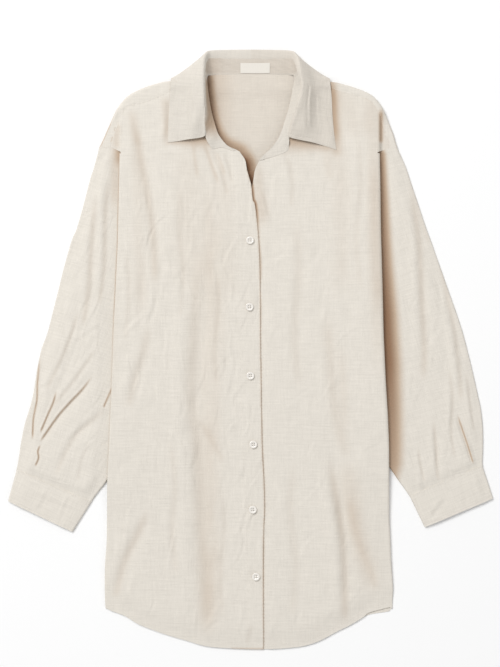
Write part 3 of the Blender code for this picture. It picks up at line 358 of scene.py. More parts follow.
SLEEVE_CREASES = {
    LEFT: (
        (1.9, 1.7, 1.3, ((-305, -8), (-309, -45), (-310, -73), (-315, -100), (-316, -132))),
        (1.8, 1.5, 1.1, ((-281, -58), (-286, -76), (-294, -94), (-305, -120))),
        (2.0, 1.9, 1.5, ((-228, -36), (-243, -56), (-262, -76), (-281, -98), (-306, -134))),
        (1.6, 1.2, 1.0, ((-304, -136), (-308, -146), (-307, -156), (-312, -168))),
        (2.0, 1.5, 1.2, ((-199, -50), (-206, -66), (-214, -84))),
        (5.5, 0.7, 0.8, ((-206, -78), (-232, -102), (-255, -122), (-274, -156), (-284, -184))),
        (3.9, 0.75, 0.8, ((-222, 6), (-246, -28), (-262, -50), (-290, -84))),
        (3.9, 0.94, 0.94, ((-250, 60), (-262, 20), (-276, -14), (-298, -60))),
        (6.24, 1.22, 1.22, ((-226, 230), (-232, 160), (-236, 90), (-246, 30))),
        (5.46, 1.08, 1.08, ((-205, 260), (-212, 200), (-214, 120), (-222, 60))),
        (3.6, 0.4, 0.4, ((-232, -130), (-246, -158), (-252, -190))),
    ),
    RIGHT: (
        (2.0, -1.7, -1.4, ((298, -92), (306, -116), (314, -140), (322, -166))),
        (3.9, 1.08, 1.08, ((262, -100), (266, -140), (268, -178), (272, -192))),
        (5.46, 1.08, 1.22, ((268, 150), (280, 90), (292, 30), (300, -40), (302, -80))),
        (7.8, 1.49, 1.49, ((226, 250), (240, 160), (244, 80), (248, 0), (246, -50))),
        (3.9, 0.94, 0.94, ((222, 282), (232, 240), (244, 190), (258, 150))),
        (3.12, 0.81, 0.94, ((240, -140), (244, -166), (250, -192))),
        (3.9, 0.81, 0.81, ((284, -20), (290, -70), (288, -120), (294, -160))),
        (3.12, 0.81, 0.81, ((310, -30), (316, -80), (322, -120))),
    ),
}
CUFF_CREASES = {
    LEFT: (
        (4, 0.5, 0.5, ((-290, -196), (-300, -215), (-312, -236))),
        (3, 0.4, 0.4, ((-262, -208), (-272, -230), (-278, -252))),
        (5, 0.5, 0.5, ((-252, -232), (-270, -226), (-296, -214), (-322, -204))),
    ),
    RIGHT: (
        (4, 0.7, 0.7, ((282, -212), (270, -226), (256, -244))),
        (3, 0.4, 0.4, ((300, -184), (306, -206), (312, -228))),
        (4, 0.4, 0.4, ((322, -178), (330, -196), (338, -214))),
    ),
}
LEAF_CREASES = {  # in rows and columns of the leaf's net, counted in points
    LEFT: (
        (0.16, 0.5, 0.5, ((0.4, 3.2), (1.6, 3.0), (2.6, 3.3), (3.6, 3.2))),
        (0.14, 0.4, 0.4, ((0.5, 4.4), (1.4, 4.6), (2.2, 4.4))),
    ),
    RIGHT: (
        (0.18, 0.8, 0.8, ((17.4, 3.6), (16.4, 3.3), (15.4, 3.0), (14.6, 3.2))),
        (0.18, 0.6, 0.6, ((17.0, 4.6), (16.0, 4.3), (15.0, 4.2))),
    ),
}
PLACKET = (
    (-27, 262), (-24, 200), (-20, 120), (-17.4, 58), (-17, 0), (-15.5, -90), (-12, -180), (-8, -260),
    (-6, -345), (-6, -432),
)
HEM_FOLD, HEM_TOP = 8.0, 2.8  # the hem's depth and height
STITCH_IN, HEM_STITCH = 1.6, 6.8  # how far in from an edge stitches lie, and from the hem's edge
STITCH_PITCH, STITCH_LONG, STITCH_WIDE, STITCH_HIGH = 2.7, 1.9, 0.42, 0.24
STITCH_SUNK, STITCH_BASE = 0.12, 0.05  # how deep a stitch's ends and its underside lie in the cloth
STITCH_FACES = (  # its two ends are points 0 and 1, and a three-sided section stands by each
    (2, 4, 7, 5), (4, 3, 6, 7), (3, 2, 5, 6),
    (0, 2, 3), (0, 3, 4), (0, 4, 2), (1, 6, 5), (1, 7, 6), (1, 5, 7),
)
STITCH_STEEP, STEEP = 1.5, 0.3  # no stitch climbs more than this, or lies where the cloth's normal rises less
ABOVE_ALL = 90  # a height over the whole shirt
CUFF_STITCH = 0.93  # how far out from the middle of a cuff its stitches lie, as a share
LEAF_STITCH = 4.5  # how far in the leaf's stitches lie

# The painted shade in the gap beside the right side's fold: y, how far it reaches over the sleeve, and its
# tone.
GAP_SHADE = (
    (300, 6, 0), (284, 11, 0.75), (200, 15, 0.8), (120, 19, 0.85), (50, 24, 0.95), (-20, 26, 0.95),
    (-60, 25, 0.85), (-165, 22, 0.65), (-215, 9, 0.35),
)
# Wide faint bands of painted shade: half width, tone, and the line that each runs down.
SHADE_BANDS = {
    LEFT: (
        (15, 0.085, ((-60, 300), (-62, 180), (-56, 60), (-60, -100), (-58, -250), (-62, -425))),
        (9, 0.06, ((-166, 330), (-164, 240), (-160, 120), (-160, 20))),
        (20, 0.045, ((-96, 320), (-92, 200), (-88, 120), (-80, 60))),
        (5, 0.13, ((-127, 372), (-124, 340), (-123, 318), (-127, 296))),
        (14, 0.08, ((-56, -270), (-58, -340), (-60, -420))),
        (5, 0.16, ((-189, 330), (-193, 318), (-195, 300), (-190, 288))),
        (3, 0.12, ((-84, 302), (-81, 275), (-76, 245))),
        (3, 0.16, ((-70, 303), (-63, 285), (-55, 262), (-46, 238))),
        (2.6, 0.12, ((-52, 290), (-44, 272), (-37, 250))),
        (16, 0.04, ((-38, 270), (-36, 200), (-34, 120), (-30, 60))),
        (6, 0.09, ((-173, 352), (-171, 330), (-168, 312), (-160, 290))),
        (7, 0.05, ((-196, 240), (-200, 120), (-202, 0), (-204, -100))),
    ),
    RIGHT: (
        (13, 0.13, ((136, -150), (142, -190), (152, -255), (166, -310), (180, -360))),
        (7, 0.05, ((128, 20), (134, -60), (136, -140))),
        (13, 0.05, ((124, 320), (128, 250), (132, 160), (130, 60))),
        (6, 0.06, ((106, 300), (110, 270), (114, 240))),
        (9, 0.13, ((6, 285), (10, 245), (14, 210), (18, 170))),
        (26, 0.07, ((100, 385), (128, 362), (150, 335), (152, 300))),
        (9, 0.11, ((178, 290), (177, 240), (178, 170), (182, 100), (186, 40))),
    ),
}

# Creases narrower than SHARP are pleats: they end more abruptly, and have a thin line of painted shade. The
# ends are shares of a crease's length, and its ridge and valley lie APART times its half width from its line.
SHARP, SHARP_END, SOFT_END, APART = 3.0, 0.12, 0.3, 0.8
PLEAT_SHADE, LINE_WIDE = 0.6, 1.1  # a pleat's painted shade and its half width
CREASE_SHADE = 0.08  # the painted shade of any other crease, for each mm of its ridge
CUT_EDGE_SHADE, RIM_REACH = 0.3, 30  # the painted shade along the left front's cut edge, and how far from the middle it reaches

FLUSH = 5.2  # the height at which the sleeve, the front and the yoke meet at each shoulder
LAP, YOKE_ROWS = 0.12, 10  # how high the yoke lies over the front, and the rows across its strip
NECK_LIFT = 2.2  # how high the back of the neck lies over the leaf folded under it
CUFF_BUMP, CUFF_DENT, BUMP_WIDE = 1.8, 3.8, 16  # over a cuff's button, under it, and how far both spread

# The unevenness of washed linen: a seed, the height of its lumps, and its crinkles: their count, box (low x,
# high x, low y, high y), height, and spread in degrees.
FRONT_UNEVEN = {
    LEFT: (11, 1.25, (190, (-205, 15, -430, 250), 0.75, 18)),
    RIGHT: (21, 1.1, (120, (15, 200, -430, 350), 0.5, 34)),
}
SLEEVE_UNEVEN = {
    LEFT: (41, 1.1, (130, (-330, -190, -210, 290), 0.5, 24)),
    RIGHT: (51, 0.8, (130, (190, 330, -210, 290), 0.5, 24)),
}
CUFF_UNEVEN = {LEFT: 61, RIGHT: 71}
CRINKLE_LONG, CRINKLE_WIDE, CRINKLE_BEND = (9, 30), (1.6, 4.2), (-0.012, 0.012)  # the least and the most
PUCKER, PUCKER_WIDE, GROOVE, GROOVE_WIDE = 0.26, 5, 0.28, 0.9  # beside a row of stitches, and under it
DOUBLED = 0.45  # what a second layer of cloth adds, pressed flat
HEM_SLOPE = 34  # how far in from the hem the fronts start to come down
SLEEVE_LEAN, CUFF_LEAN = 16, 24  # degrees that their cloth leans outward
STAND_LEAN, LEAF_LEAN = 6, -8  # degrees that the collar's threads are turned

# Colours, linear. The collar's is the linen's own, darkened as painted shade. The last two are painted shade,
# as shares of the linen's own colour: in its gaps, and in the deepest of them.
LINEN, COLLAR_SHADED, THREAD = (0.735, 0.69, 0.62), (0.682, 0.638, 0.572), (0.80, 0.75, 0.68)
PEARL, TAPE, FLOOR = (0.84, 0.80, 0.745), (0.775, 0.735, 0.67), (0.93, 0.93, 0.93)
WARM_SHADE, DEEP_SHADE = (0.70, 0.57, 0.465), (0.33, 0.185, 0.105)
SLUB = 0.24  # how much the linen's tone varies from thread to thread
# The weave, in lumps to the metre: threads and slubs across and along their run, and patches of uneven tone.
THREADS, SLUBS, PATCHES = (1300, 60), (430, 30), (70, 50, 1)

# The stage, in metres: each light's place, size and watts, the strength of the white light all round, and the
# camera's place. Its lens and sensor are in mm.
LIGHTS = {"key": ((-2.2, 2.6, 4.4), 2.6, 219), "fill": ((2.6, -3.0, 1.8), 2.2, 26)}
SKY, FLOOR_SIZE = 0.5, 12
CAMERA_AT, LENS, SENSOR, FARTHEST = (-0.00145, 0.0239, 2.283), 85, 36, 50

# How finely each piece is meshed: a panel's steps across and down, or a net's rows and columns. For
# sleeves and cuffs the columns are those over them, then those under them.
BACK_STEP, YOKE_STEP, FRONT_STEP = (10, 12), (6, 6), {LEFT: (2.0, 2.3), RIGHT: (2.2, 2.5)}
SLEEVE_NET, CUFF_NET = {LEFT: (330, (112, 20)), RIGHT: (300, (100, 20))}, (44, (90, 36))
STAND_NET, LEAF_NET, LABEL_NET = (320, 24), (360, 64), (40, 18)
BUTTON_SIDES, HOLE_SIDES, STRAND_SIDES = 36, 12, 10
LABEL_ROWS, LABEL_COLUMNS = (14.56, 15.82), (0.07, 0.74)  # where the label lies, in points of the stand


def smooth(x):
    x = np.clip(x, 0, 1)
    return x * x * (3 - 2 * x)


def along(line, step):
    """The line's own corners, with points between them at most a step apart."""
    line = np.asarray(line, float)
    out = [line[:1]]
    for a, b in zip(line[:-1], line[1:]):
        parts = max(1, int(np.ceil(np.linalg.norm(b - a) / step)))
        out.append(a + (b - a) * (np.arange(1, parts + 1) / parts)[:, None])
    return np.concatenate(out)


def evenly(line, count):
    """The line in a number of equal lengths."""
    line = np.asarray(line, float)
    far = np.concatenate([[0], np.cumsum(np.linalg.norm(np.diff(line, axis=0), axis=1))])
    at = np.linspace(0, far[-1], count)
    return np.stack([np.interp(at, far, line[:, i]) for i in range(line.shape[1])], axis=1)


def row(table, y, column):
    """One column of a table whose rows begin with y."""
    table = np.asarray(sorted(table), float)
    return np.interp(y, table[:, 0], table[:, column])


def x_on(line, y):
    """Where a line that runs down the shirt is at y."""
    line = np.asarray(sorted((p[1], p[0]) for p in line), float)
    return np.interp(y, line[:, 0], line[:, 1])


def fold_x(side, y):
    return x_on(FOLD[side], y)


def turn_radius(side, y):
    return (row(SIDES[side], y, 1) - row(SIDES[side], y, 2)) / 2


def folds(x, y, table):
    """The height that a table of soft folds adds."""
    total = np.zeros(np.shape(x))
    for width, depth, line in table:
        d, t = distance(x, y, line)
        total += depth * np.exp(-((d / width) ** 2)) * (0.25 + 0.75 * smooth(np.minimum(t, 1 - t) / 0.2))
    return total


def rise(side, x, y):
    """The spread of heights in RISE, at each point."""
    inner = fold_x(side, y) - side * turn_radius(side, y)
    u = np.clip((inner - x) / (inner - MIDDLE), 0, 1)
    columns = [row(RISE[side], y, i + 1) for i in range(len(ACROSS))]
    total = columns[0]
    for i in range(len(ACROSS) - 1):
        t = smooth((u - ACROSS[i]) / (ACROSS[i + 1] - ACROSS[i]))
        total = total + (columns[i + 1] - columns[i]) * t
    return total


def smoothed(line):
    """A line's points with a smooth curve through them."""
    return [tuple(p) for p in spline(line, np.linspace(0, len(line) - 1, 4 * len(line) - 3))]


def side_of(x, y, line):
    """How far each point is from a line, more than 0 on its right where it runs down the shirt, and how far
    along it the nearest place is, 0 to 1."""
    line = np.asarray(line, float)
    near, found, at = np.full(np.shape(x), 1e9), np.zeros(np.shape(x)), np.zeros(np.shape(x))
    sizes = np.linalg.norm(np.diff(line, axis=0), axis=1)
    start = np.concatenate([[0], np.cumsum(sizes)])
    for i, (a, b) in enumerate(zip(line[:-1], line[1:])):
        run = (b - a) / sizes[i]
        t = np.clip(((x - a[0]) * run[0] + (y - a[1]) * run[1]) / sizes[i], 0, 1)
        dx, dy = x - a[0] - t * (b[0] - a[0]), y - a[1] - t * (b[1] - a[1])
        d = np.hypot(dx, dy)
        closer = d < near
        found = np.where(closer, d * np.where(run[0] * dy - run[1] * dx < 0, -1, 1), found)
        at = np.where(closer, (start[i] + t * sizes[i]) / start[-1], at)
        near = np.minimum(near, d)
    return found, at


def distance(x, y, line):
    """How far each point is from a line, on either side, and how far along it."""
    d, t = side_of(x, y, line)
    return np.abs(d), t


def creases(x, y, table):
    """Sharper folds, a ridge on one side of the line and a valley on the other, fading out at both ends."""
    total = np.zeros(np.shape(x))
    for width, ridge, valley, line in table:
        d, t = side_of(x, y, smoothed(line))
        fade = smooth(t / SOFT_END) * smooth((1 - t) / (SHARP_END if width < SHARP else SOFT_END))
        total += fade * ridge * np.exp(-((d / width + APART) ** 2))
        total -= fade * valley * np.exp(-((d / width - APART) ** 2))
    return total


def painted_crease_shade(x, y, table):
    """The painted shade down in each crease: a thin line in a sharp one, a faint band in a soft one."""
    total = np.zeros(np.shape(x))
    for width, ridge, _, line in table:
        d, t = side_of(x, y, smoothed(line))
        fade = smooth(t / 0.2) * smooth((1 - t) / 0.1)
        if width < SHARP:
            tone = PLEAT_SHADE * np.exp(-((d / LINE_WIDE) ** 2))
        else:
            tone = CREASE_SHADE * abs(ridge) * np.exp(-((d / width - 0.3) ** 2) / 0.4)
        total = np.maximum(total, fade * tone)
    return total


def painted_band_shade(x, y, table):
    """The painted shade of the wide faint bands, broken up a little along their run."""
    total = np.zeros(np.shape(x))
    for width, tone, line in table:
        d, t = side_of(x, y, smoothed(line))
        wander = 1 + 0.35 * value_noise(x, y, (12, 40), 33)
        total += tone * wander * smooth(np.minimum(t, 1 - t) / 0.25) * np.exp(-((d / width) ** 2))
    return total


def value_noise(x, y, size, seed):
    """Smooth noise from -1 to 1, in lumps about size across and along."""
    u, v = np.asarray(x, float) / size[0] + 97, np.asarray(y, float) / size[1] + 97
    i, j = np.floor(u).astype(int), np.floor(v).astype(int)
    fu, fv = u - i, v - j
    fu, fv = (f**3 * (f * (6 * f - 15) + 10) for f in (fu, fv))
    table = np.random.default_rng(seed).uniform(-1, 1, (256, 256))
    a, b = table[i % 256, j % 256], table[(i + 1) % 256, j % 256]
    c, d = table[i % 256, (j + 1) % 256], table[(i + 1) % 256, (j + 1) % 256]
    return (a * (1 - fu) + b * fu) * (1 - fv) + (c * (1 - fu) + d * fu) * fv


def rumple(x, y, seed, lean=0.0):
    """The small unevenness of washed linen. lean turns it with a sleeve, in degrees."""
    c, s = math.cos(math.radians(lean)), math.sin(math.radians(lean))
    x, y = c * x + s * y, c * y - s * x
    total = 0.55 * value_noise(x + 0.3 * y, y - 0.2 * x, (36, 74), seed)
    total += 0.26 * value_noise(x - 0.4 * y, y + 0.4 * x, (15, 31), seed + 1)
    return total + 0.07 * value_noise(x, y, (6, 11), seed + 2)


def crinkles(x, y, seed, count, box, height, spread, lean=0.0):
    """Short faint creases, placed from a seed within a box: low x, high x, low y, high y."""
    draw = np.random.default_rng(seed)
    total = np.zeros(np.shape(x))
    for _ in range(count):
        cx, cy = draw.uniform(box[0], box[1]), draw.uniform(box[2], box[3])
        angle = math.radians(lean + draw.normal(0, spread))
        long, wide, bend = (draw.uniform(*ends) for ends in (CRINKLE_LONG, CRINKLE_WIDE, CRINKLE_BEND))
        tall = height * draw.uniform(0.35, 1.0) * draw.choice((-1, 1))
        v = (y - cy) * math.cos(angle) - (x - cx) * math.sin(angle)
        u = (x - cx) * math.cos(angle) + (y - cy) * math.sin(angle) - bend * v * v
        near = (np.abs(u) < 3 * wide + 4) & (np.abs(v) < 2.2 * long)
        u, v = u[near] / wide, v[near] / long
        total[near] += tall * (np.exp(-((u + 0.7) ** 2)) - np.exp(-((u - 0.7) ** 2))) * np.exp(-(v**2))
    return total


def stitched(x, y, d, inset, seed):
    """A row of stitches at a distance in from a line: its groove, and the puckers beside it."""
    pucker = PUCKER * value_noise(x, y, (4.5, 4.5), seed) * np.exp(-(((d - inset) / PUCKER_WIDE) ** 2))
    return pucker - GROOVE * np.exp(-(((d - inset) / GROOVE_WIDE) ** 2))


def hemmed(x, y, line, seed):
    """An edge that is folded in and stitched down: double as far as the hem's depth."""
    d, _ = distance(x, y, line)
    return DOUBLED * (1 - smooth((d - HEM_FOLD + 0.8) / 1.6)) + stitched(x, y, d, HEM_STITCH, seed)


def lie(side, x, y):
    """How a front's own cloth lies."""
    x, y = np.atleast_1d(np.asarray(x, float)), np.atleast_1d(np.asarray(y, float))
    seed, lumps, small = FRONT_UNEVEN[side]
    top = rise(side, x, y) + folds(x, y, FRONT_FOLDS[side]) + 1.3 * creases(x, y, FRONT_CREASES[side])
    clear = smooth((side * (fold_x(side, y) - x) - 4) / 18)
    top += lumps * rumple(x, y, seed) * (0.35 + 0.65 * clear)
    top += crinkles(x, y, seed + 1, *small) * clear
    top += hemmed(x, y, HEM[side], seed + 2)
    if side == LEFT:
        top += stitched(x, y, distance(x, y, OPENING[side])[0], STITCH_IN, seed + 3)
        d, _ = side_of(x, y, PLACKET)
        top += 0.4 * smooth((d + 0.5) / 1.2) + stitched(x, y, d, STITCH_IN, seed + 4)
    down = 0.9 * (1 - smooth(distance(x, y, HEM[side])[0] / HEM_SLOPE))
    top += (HEM_TOP - top) * down
    d, _ = distance(x, y, YOKE_SEAM[side])
    pucker = 0.6 * value_noise(x, y, (7, 14), 31) * np.exp(-((d / 13) ** 2))
    return top + pucker - 0.3 * np.exp(-((d / 3) ** 2))


def front_top(side, x, y):
    """The top of a front's cloth. Outside its fold, at the shoulder, the cloth steps down to the sleeve."""
    top = lie(side, x, y)
    if side == RIGHT:
        under = lie(LEFT, x, y) - CLOTH - 0.3
        top = top + (under - top) * smooth((x_on(OPENING[LEFT], y) + 13 - x) / 11)
    out = side * (x - fold_x(side, y))
    step = smooth((out + 1.5) / 5) * smooth((351 - y) / 26)
    return top + (FLUSH - top) * step


def inside(points, loop):
    x, y = points[:, 0], points[:, 1]
    found = np.zeros(len(points), bool)
    for (x0, y0), (x1, y1) in zip(loop, np.roll(loop, -1, axis=0)):
        crosses = (y0 > y) != (y1 > y)
        found ^= crosses & (x < (x1 - x0) * (y - y0) / np.where(y1 == y0, 1, y1 - y0) + x0)
    return found


def facing_up(points, faces):
    """Flat triangles, each turned to face up."""
    a, b, c = (points[faces[:, i]] for i in range(3))
    turned = (b[:, 0] - a[:, 0]) * (c[:, 1] - a[:, 1]) < (b[:, 1] - a[:, 1]) * (c[:, 0] - a[:, 0])
    faces[turned] = faces[turned][:, ::-1]
    return faces


def filled(points, loops):
    """Triangles between flat points. Each loop, a first point and a count, keeps its edges."""
    edges = [(first + i, first + (i + 1) % count) for first, count in loops for i in range(count)]
    _, _, faces, source, _, _ = delaunay_2d_cdt([Vector(p) for p in points], edges, [], 1, 1e-6)
    return facing_up(points, np.array([[source[i][0] for i in face] for face in faces]))


def flat_panel(loop, step_x, step_y):
    """Triangles that fill a closed outline: its points, then staggered rows inside it."""
    loop = np.asarray(loop, float)
    low, high = loop.min(0), loop.max(0)
    grid = []
    for j, y in enumerate(np.arange(low[1] + step_y / 2, high[1], step_y)):
        x = np.arange(low[0] + step_x * (0.25 + 0.5 * (j % 2)), high[0], step_x)
        grid.append(np.stack([x, np.full(len(x), y)], axis=1))
    grid = np.concatenate(grid)
    grid = grid[inside(grid, loop)]
    stretch = np.array([1, step_x / step_y])
    away, _ = distance(grid[:, 0], grid[:, 1] * stretch[1], np.concatenate([loop, loop[:1]]) * stretch)
    points = np.concatenate([loop, grid[away > step_x / 2]])
    return points, filled(points, [(0, len(loop))])


def lattice(points, flip=False, around=False):
    """Quads over rows and columns of points."""
    points = np.asarray(points, float)
    rows, columns = points.shape[:2]
    faces = []
    for i in range(rows - 1):
        for j in range(columns if around else columns - 1):
            k = (j + 1) % columns
            face = (i * columns + j, (i + 1) * columns + j, (i + 1) * columns + k, i * columns + k)
            faces.append(face[::-1] if flip else face)
    return points.reshape(-1, 3), faces


def join(*patches):
    """Patches that share edge points, as one surface."""
    points, faces, index = [], [], {}
    for found, polygons in patches:
        own = []
        for p in np.asarray(found, float):
            key = tuple(int(v) for v in np.round(p * 500))
            if key not in index:
                index[key] = len(points)
                points.append(p)
            own.append(index[key])
        faces.extend(tuple(own[i] for i in face) for face in polygons)
    return np.array(points), faces


def turn(edge, outward, radius, degrees):
    """Rows of points from a panel's edge out, over and under, at these degrees of the turn."""
    edge, outward = np.asarray(edge, float), np.asarray(outward, float)
    radius = np.broadcast_to(radius, len(edge))
    columns = []
    for angle in np.radians(degrees):
        flat = edge[:, :2] + outward * (radius * np.sin(angle))[:, None]
        height = edge[:, 2] - radius * (1 - np.cos(angle))
        columns.append(np.column_stack([flat, height]))
    return np.stack(columns, axis=1)


def spline(points, at):
    """A smooth curve through points, read at places counted in points."""
    points = np.asarray(points, float)
    padded = np.concatenate([2 * points[:1] - points[1:2], points, 2 * points[-1:] - points[-2:-1]])
    at = np.asarray(at, float)
    i = np.clip(at.astype(int), 0, len(points) - 2)
    t = (at - i).reshape((-1,) + (1,) * (points.ndim - 1))
    a, b, c, d = (padded[i + k] for k in range(4))
    return 0.5 * (2 * b + (c - a) * t + (2 * a - 5 * b + 4 * c - d) * t**2 + (3 * b - a - 3 * c + d) * t**3)


def net(table, rows, columns):
    """A smooth surface through a table of points, read at rows and columns counted in points."""
    down = spline(np.array(table, float), rows)
    found = np.swapaxes(spline(np.swapaxes(down, 0, 1), columns), 0, 1)
    found[..., 2] = np.maximum(found[..., 2], 0)
    return found


def outline(*lines, step):
    """Lines end to end as one outline, its long edges split."""
    points = along(np.concatenate([np.asarray(line, float) for line in lines]), step)
    keep = np.linalg.norm(points - np.roll(points, 1, axis=0), axis=1) > 0.05
    return points[keep]


def side_seam(side, y):
    return fold_x(side, y) - side * (turn_radius(side, y) + row(SIDES[side], y, 3))


def side_rows():
    return np.linspace(SIDE_TOP, SIDE_LOW, int((SIDE_TOP - SIDE_LOW) / SIDE_STEP) + 1)


def side_strip(side, edge):
    """A front's side: from its top round the fold, then back in to the side seam or the armhole."""
    y = edge[:, 1]
    outward = np.column_stack([np.full(len(y), side), np.zeros(len(y))])
    rolled = turn(edge, outward, (edge[:, 2] - row(SIDES[side], y, 2)) / 2, TURN)
    under = []
    for part in (0.5, 1):
        back = np.maximum(row(SIDES[side], y, 3) - 3 * smooth((y - ARMPIT + 10) / 5), 0.6)
        under.append(np.column_stack([edge[:, 0] - side * part * back, y, row(SIDES[side], y, 2)]))
    return lattice(np.concatenate([rolled, np.stack(under, axis=1)], axis=1), flip=side == LEFT)


def front(side, step_x, step_y):
    """A front: a panel from the side fold to its opening edge, and the part that folds under at the side."""
    y = side_rows()
    edge = np.column_stack([fold_x(side, y) - side * turn_radius(side, y), y])
    hem = [p for p in HEM[side][::-side] if side * p[0] < side * edge[-1][0] - 2]
    neck = NECK[side][::-side][:-1]
    seam = evenly(YOKE_SEAM[side], STATIONS) + (-side * SEAM, -SEAM)
    lines = (hem, OPENING[side][::-1], neck, seam, [FRONT_CORNER[side]])
    loop = [edge, outline(*lines, step=step_x * 1.6)]
    points, faces = flat_panel(np.concatenate(loop), step_x, step_y)
    high = front_top(side, points[:, 0], points[:, 1])
    high -= 0.6 * (1 - smooth(distance(points[:, 0], points[:, 1], seam)[0] / 1.7))
    points = np.column_stack([points, high])
    return join((points, faces), side_strip(side, points[: len(edge)]))


def neck_lift(x, y):
    """How far the back lifts over the collar's leaf, which folds under it at the neck."""
    return NECK_LIFT * smooth((y - 362) / 16) * smooth((128 - abs(x)) / 12)


def yoke(step_x, step_y):
    """The yoke: under the shoulders and the neck, round each shoulder's fold, then a strip over the front."""
    edges, strips = {}, []
    for side in (LEFT, RIGHT):
        fold, seam = evenly(SHOULDER[side], STATIONS), evenly(YOKE_SEAM[side][::-1], STATIONS)
        ahead = np.gradient(fold, axis=0)
        outward = np.column_stack([side * ahead[:, 1], -side * ahead[:, 0]])
        outward /= np.linalg.norm(ahead, axis=1)[:, None]
        low = neck_lift(fold[:, 0], fold[:, 1]) + LAP
        radius = (front_top(side, fold[:, 0], fold[:, 1]) - low) / 2
        start = fold - outward * radius[:, None]
        top = low + 2 * radius
        rolled = turn(np.column_stack([start, top]), outward, radius, TURN)
        s = np.linspace(0, 1, YOKE_ROWS)[:-1]
        flat = seam[:, None] + (start - seam)[:, None] * s[:, None]
        height = front_top(side, flat[..., 0], flat[..., 1]) * (1 - s**2)
        height = height + top[:, None] * s**2 + LAP * (1 - s)
        d = s * np.linalg.norm(start - seam, axis=1)[:, None]
        height += stitched(flat[..., 0], flat[..., 1], d, STITCH_IN, 32)
        strip = np.concatenate([flat, height[..., None]], axis=-1)
        strips.append(lattice(np.concatenate([strip, rolled], axis=1), flip=side == RIGHT))
        edges[side] = start
    arms = []
    for side in (RIGHT, LEFT):
        line = [(p[0] - side * SEAM, p[1] + SEAM) for p in ARMHOLE[side][1:3]]
        line.append((x_on(ARMHOLE[side][2:], YOKE_BACK) - side * SEAM, YOKE_BACK + SEAM))
        arms.append(line if side == RIGHT else line[::-1])
    back = outline(NECK_BACK, step=step_x)
    loop = [edges[LEFT], back, edges[RIGHT][::-1], outline(*arms, step=step_x * 1.6)]
    points, faces = flat_panel(np.concatenate(loop), step_x, step_y)
    points = np.column_stack([points, neck_lift(points[:, 0], points[:, 1]) + LAP])
    return join((points, faces[:, ::-1]), *strips)


def back_face(x, y):
    """The back's face, down on the surface but for its sides, which lie over the sleeves."""
    total = np.zeros(np.shape(x))
    for side in (LEFT, RIGHT):
        inboard = side * (side_seam(side, np.minimum(y, ARMPIT)) - x)
        lift = row(SIDES[side], y, 2) * smooth(1 - (inboard - 1) / 30) * smooth((ARMPIT + 13 - y) / 11)
        total = np.maximum(total, lift)
    return total


def back(step_x, step_y):
    """The back, from the yoke's edge and the armholes down between the side seams to its own hem."""
    y = side_rows()
    y = y[y < ARMPIT - 3]
    left = np.column_stack([side_seam(LEFT, y) + SEAM, y])
    right = np.column_stack([side_seam(RIGHT, y) - SEAM, y])[::-1]
    arms = []
    for side in (LEFT, RIGHT):
        top = [(x_on(ARMHOLE[side][2:], YOKE_BACK), YOKE_BACK)]
        arms.append([(p[0] - side * SEAM, p[1]) for p in (*top, *ARMHOLE[side][3:])])
    hem = [p for p in BACK_HEM if left[-1][0] + 2 < p[0] < right[0][0] - 2]
    loop = [left, outline(hem, step=step_x), right, outline(arms[1][::-1], arms[0], step=step_x)]
    points, faces = flat_panel(np.concatenate(loop), step_x, step_y)
    return join((np.column_stack([points, back_face(points[:, 0], points[:, 1])]), faces[:, ::-1]))


def placed_along(line, at):
    """The places along a line at these shares of its length."""
    fine = evenly(line, 201)
    return np.stack([np.interp(at, np.linspace(0, 1, 201), fine[:, i]) for i in range(2)], axis=-1)


def tube(side, outer, inner, start, end, rows, columns, edge, top, under):
    """A flattened tube between an outer and an inner edge. top and under give the height of its two faces."""
    t = np.linspace(0, 1, rows)[:, None]
    far, near = placed_along(outer, t[:, 0]), placed_along(inner, t[:, 0])
    width = np.linalg.norm(near - far, axis=1)[:, None]
    radius = edge / 2

    def between(a, b, s):
        return (1 - s)[..., None] * np.asarray(a, float) + s[..., None] * np.asarray(b, float)

    def place(s):
        """The places at these shares of the way over, in every row, so that all four edges are met."""
        s = np.broadcast_to(s, (rows, np.shape(s)[-1]))
        sides = between(far[:, None], near[:, None], s)
        ends = between(placed_along(start, s), placed_along(end, s), t)
        return sides + ends - between(between(start[0], start[-1], s), between(end[0], end[-1], s), t)

    inset = radius / width
    over = inset + (1 - 2 * inset) * np.linspace(0, 1, columns[0])
    below = inset + (1 - 2 * inset) * np.linspace(1, 0, columns[1])
    flat, low = place(over), place(below)
    from_edge = np.minimum(over - inset, 1 - inset - over) * width
    faces = [np.concatenate([flat, top(flat[..., 0], flat[..., 1], from_edge)[..., None]], axis=-1)]
    for at, away, angles in ((1 - inset, 1.0, (45, 90, 135)), (inset, 0.0, (135, 90, 45))):
        base = place(at)[:, 0]
        outward = place(np.full((rows, 1), away))[:, 0] - base
        outward /= np.linalg.norm(outward, axis=1)[:, None]
        rolled = turn(np.column_stack([base, np.full(rows, edge)]), outward, radius, angles)
        faces.append(rolled)
        if away:
            faces.append(np.concatenate([low, under(low[..., 0], low[..., 1])[..., None]], axis=-1))
    return lattice(np.concatenate(faces, axis=1), flip=side == RIGHT, around=True)


def under_yoke(line):
    """A sleeve's line, its head drawn up under the yoke's edge."""
    lifted = [(x, y, float(smooth((y - SLEEVE_HEAD) / 24))) for x, y in line]
    return [(x - math.copysign(1.8, x) * s, y + 5 * s) for x, y, s in lifted]


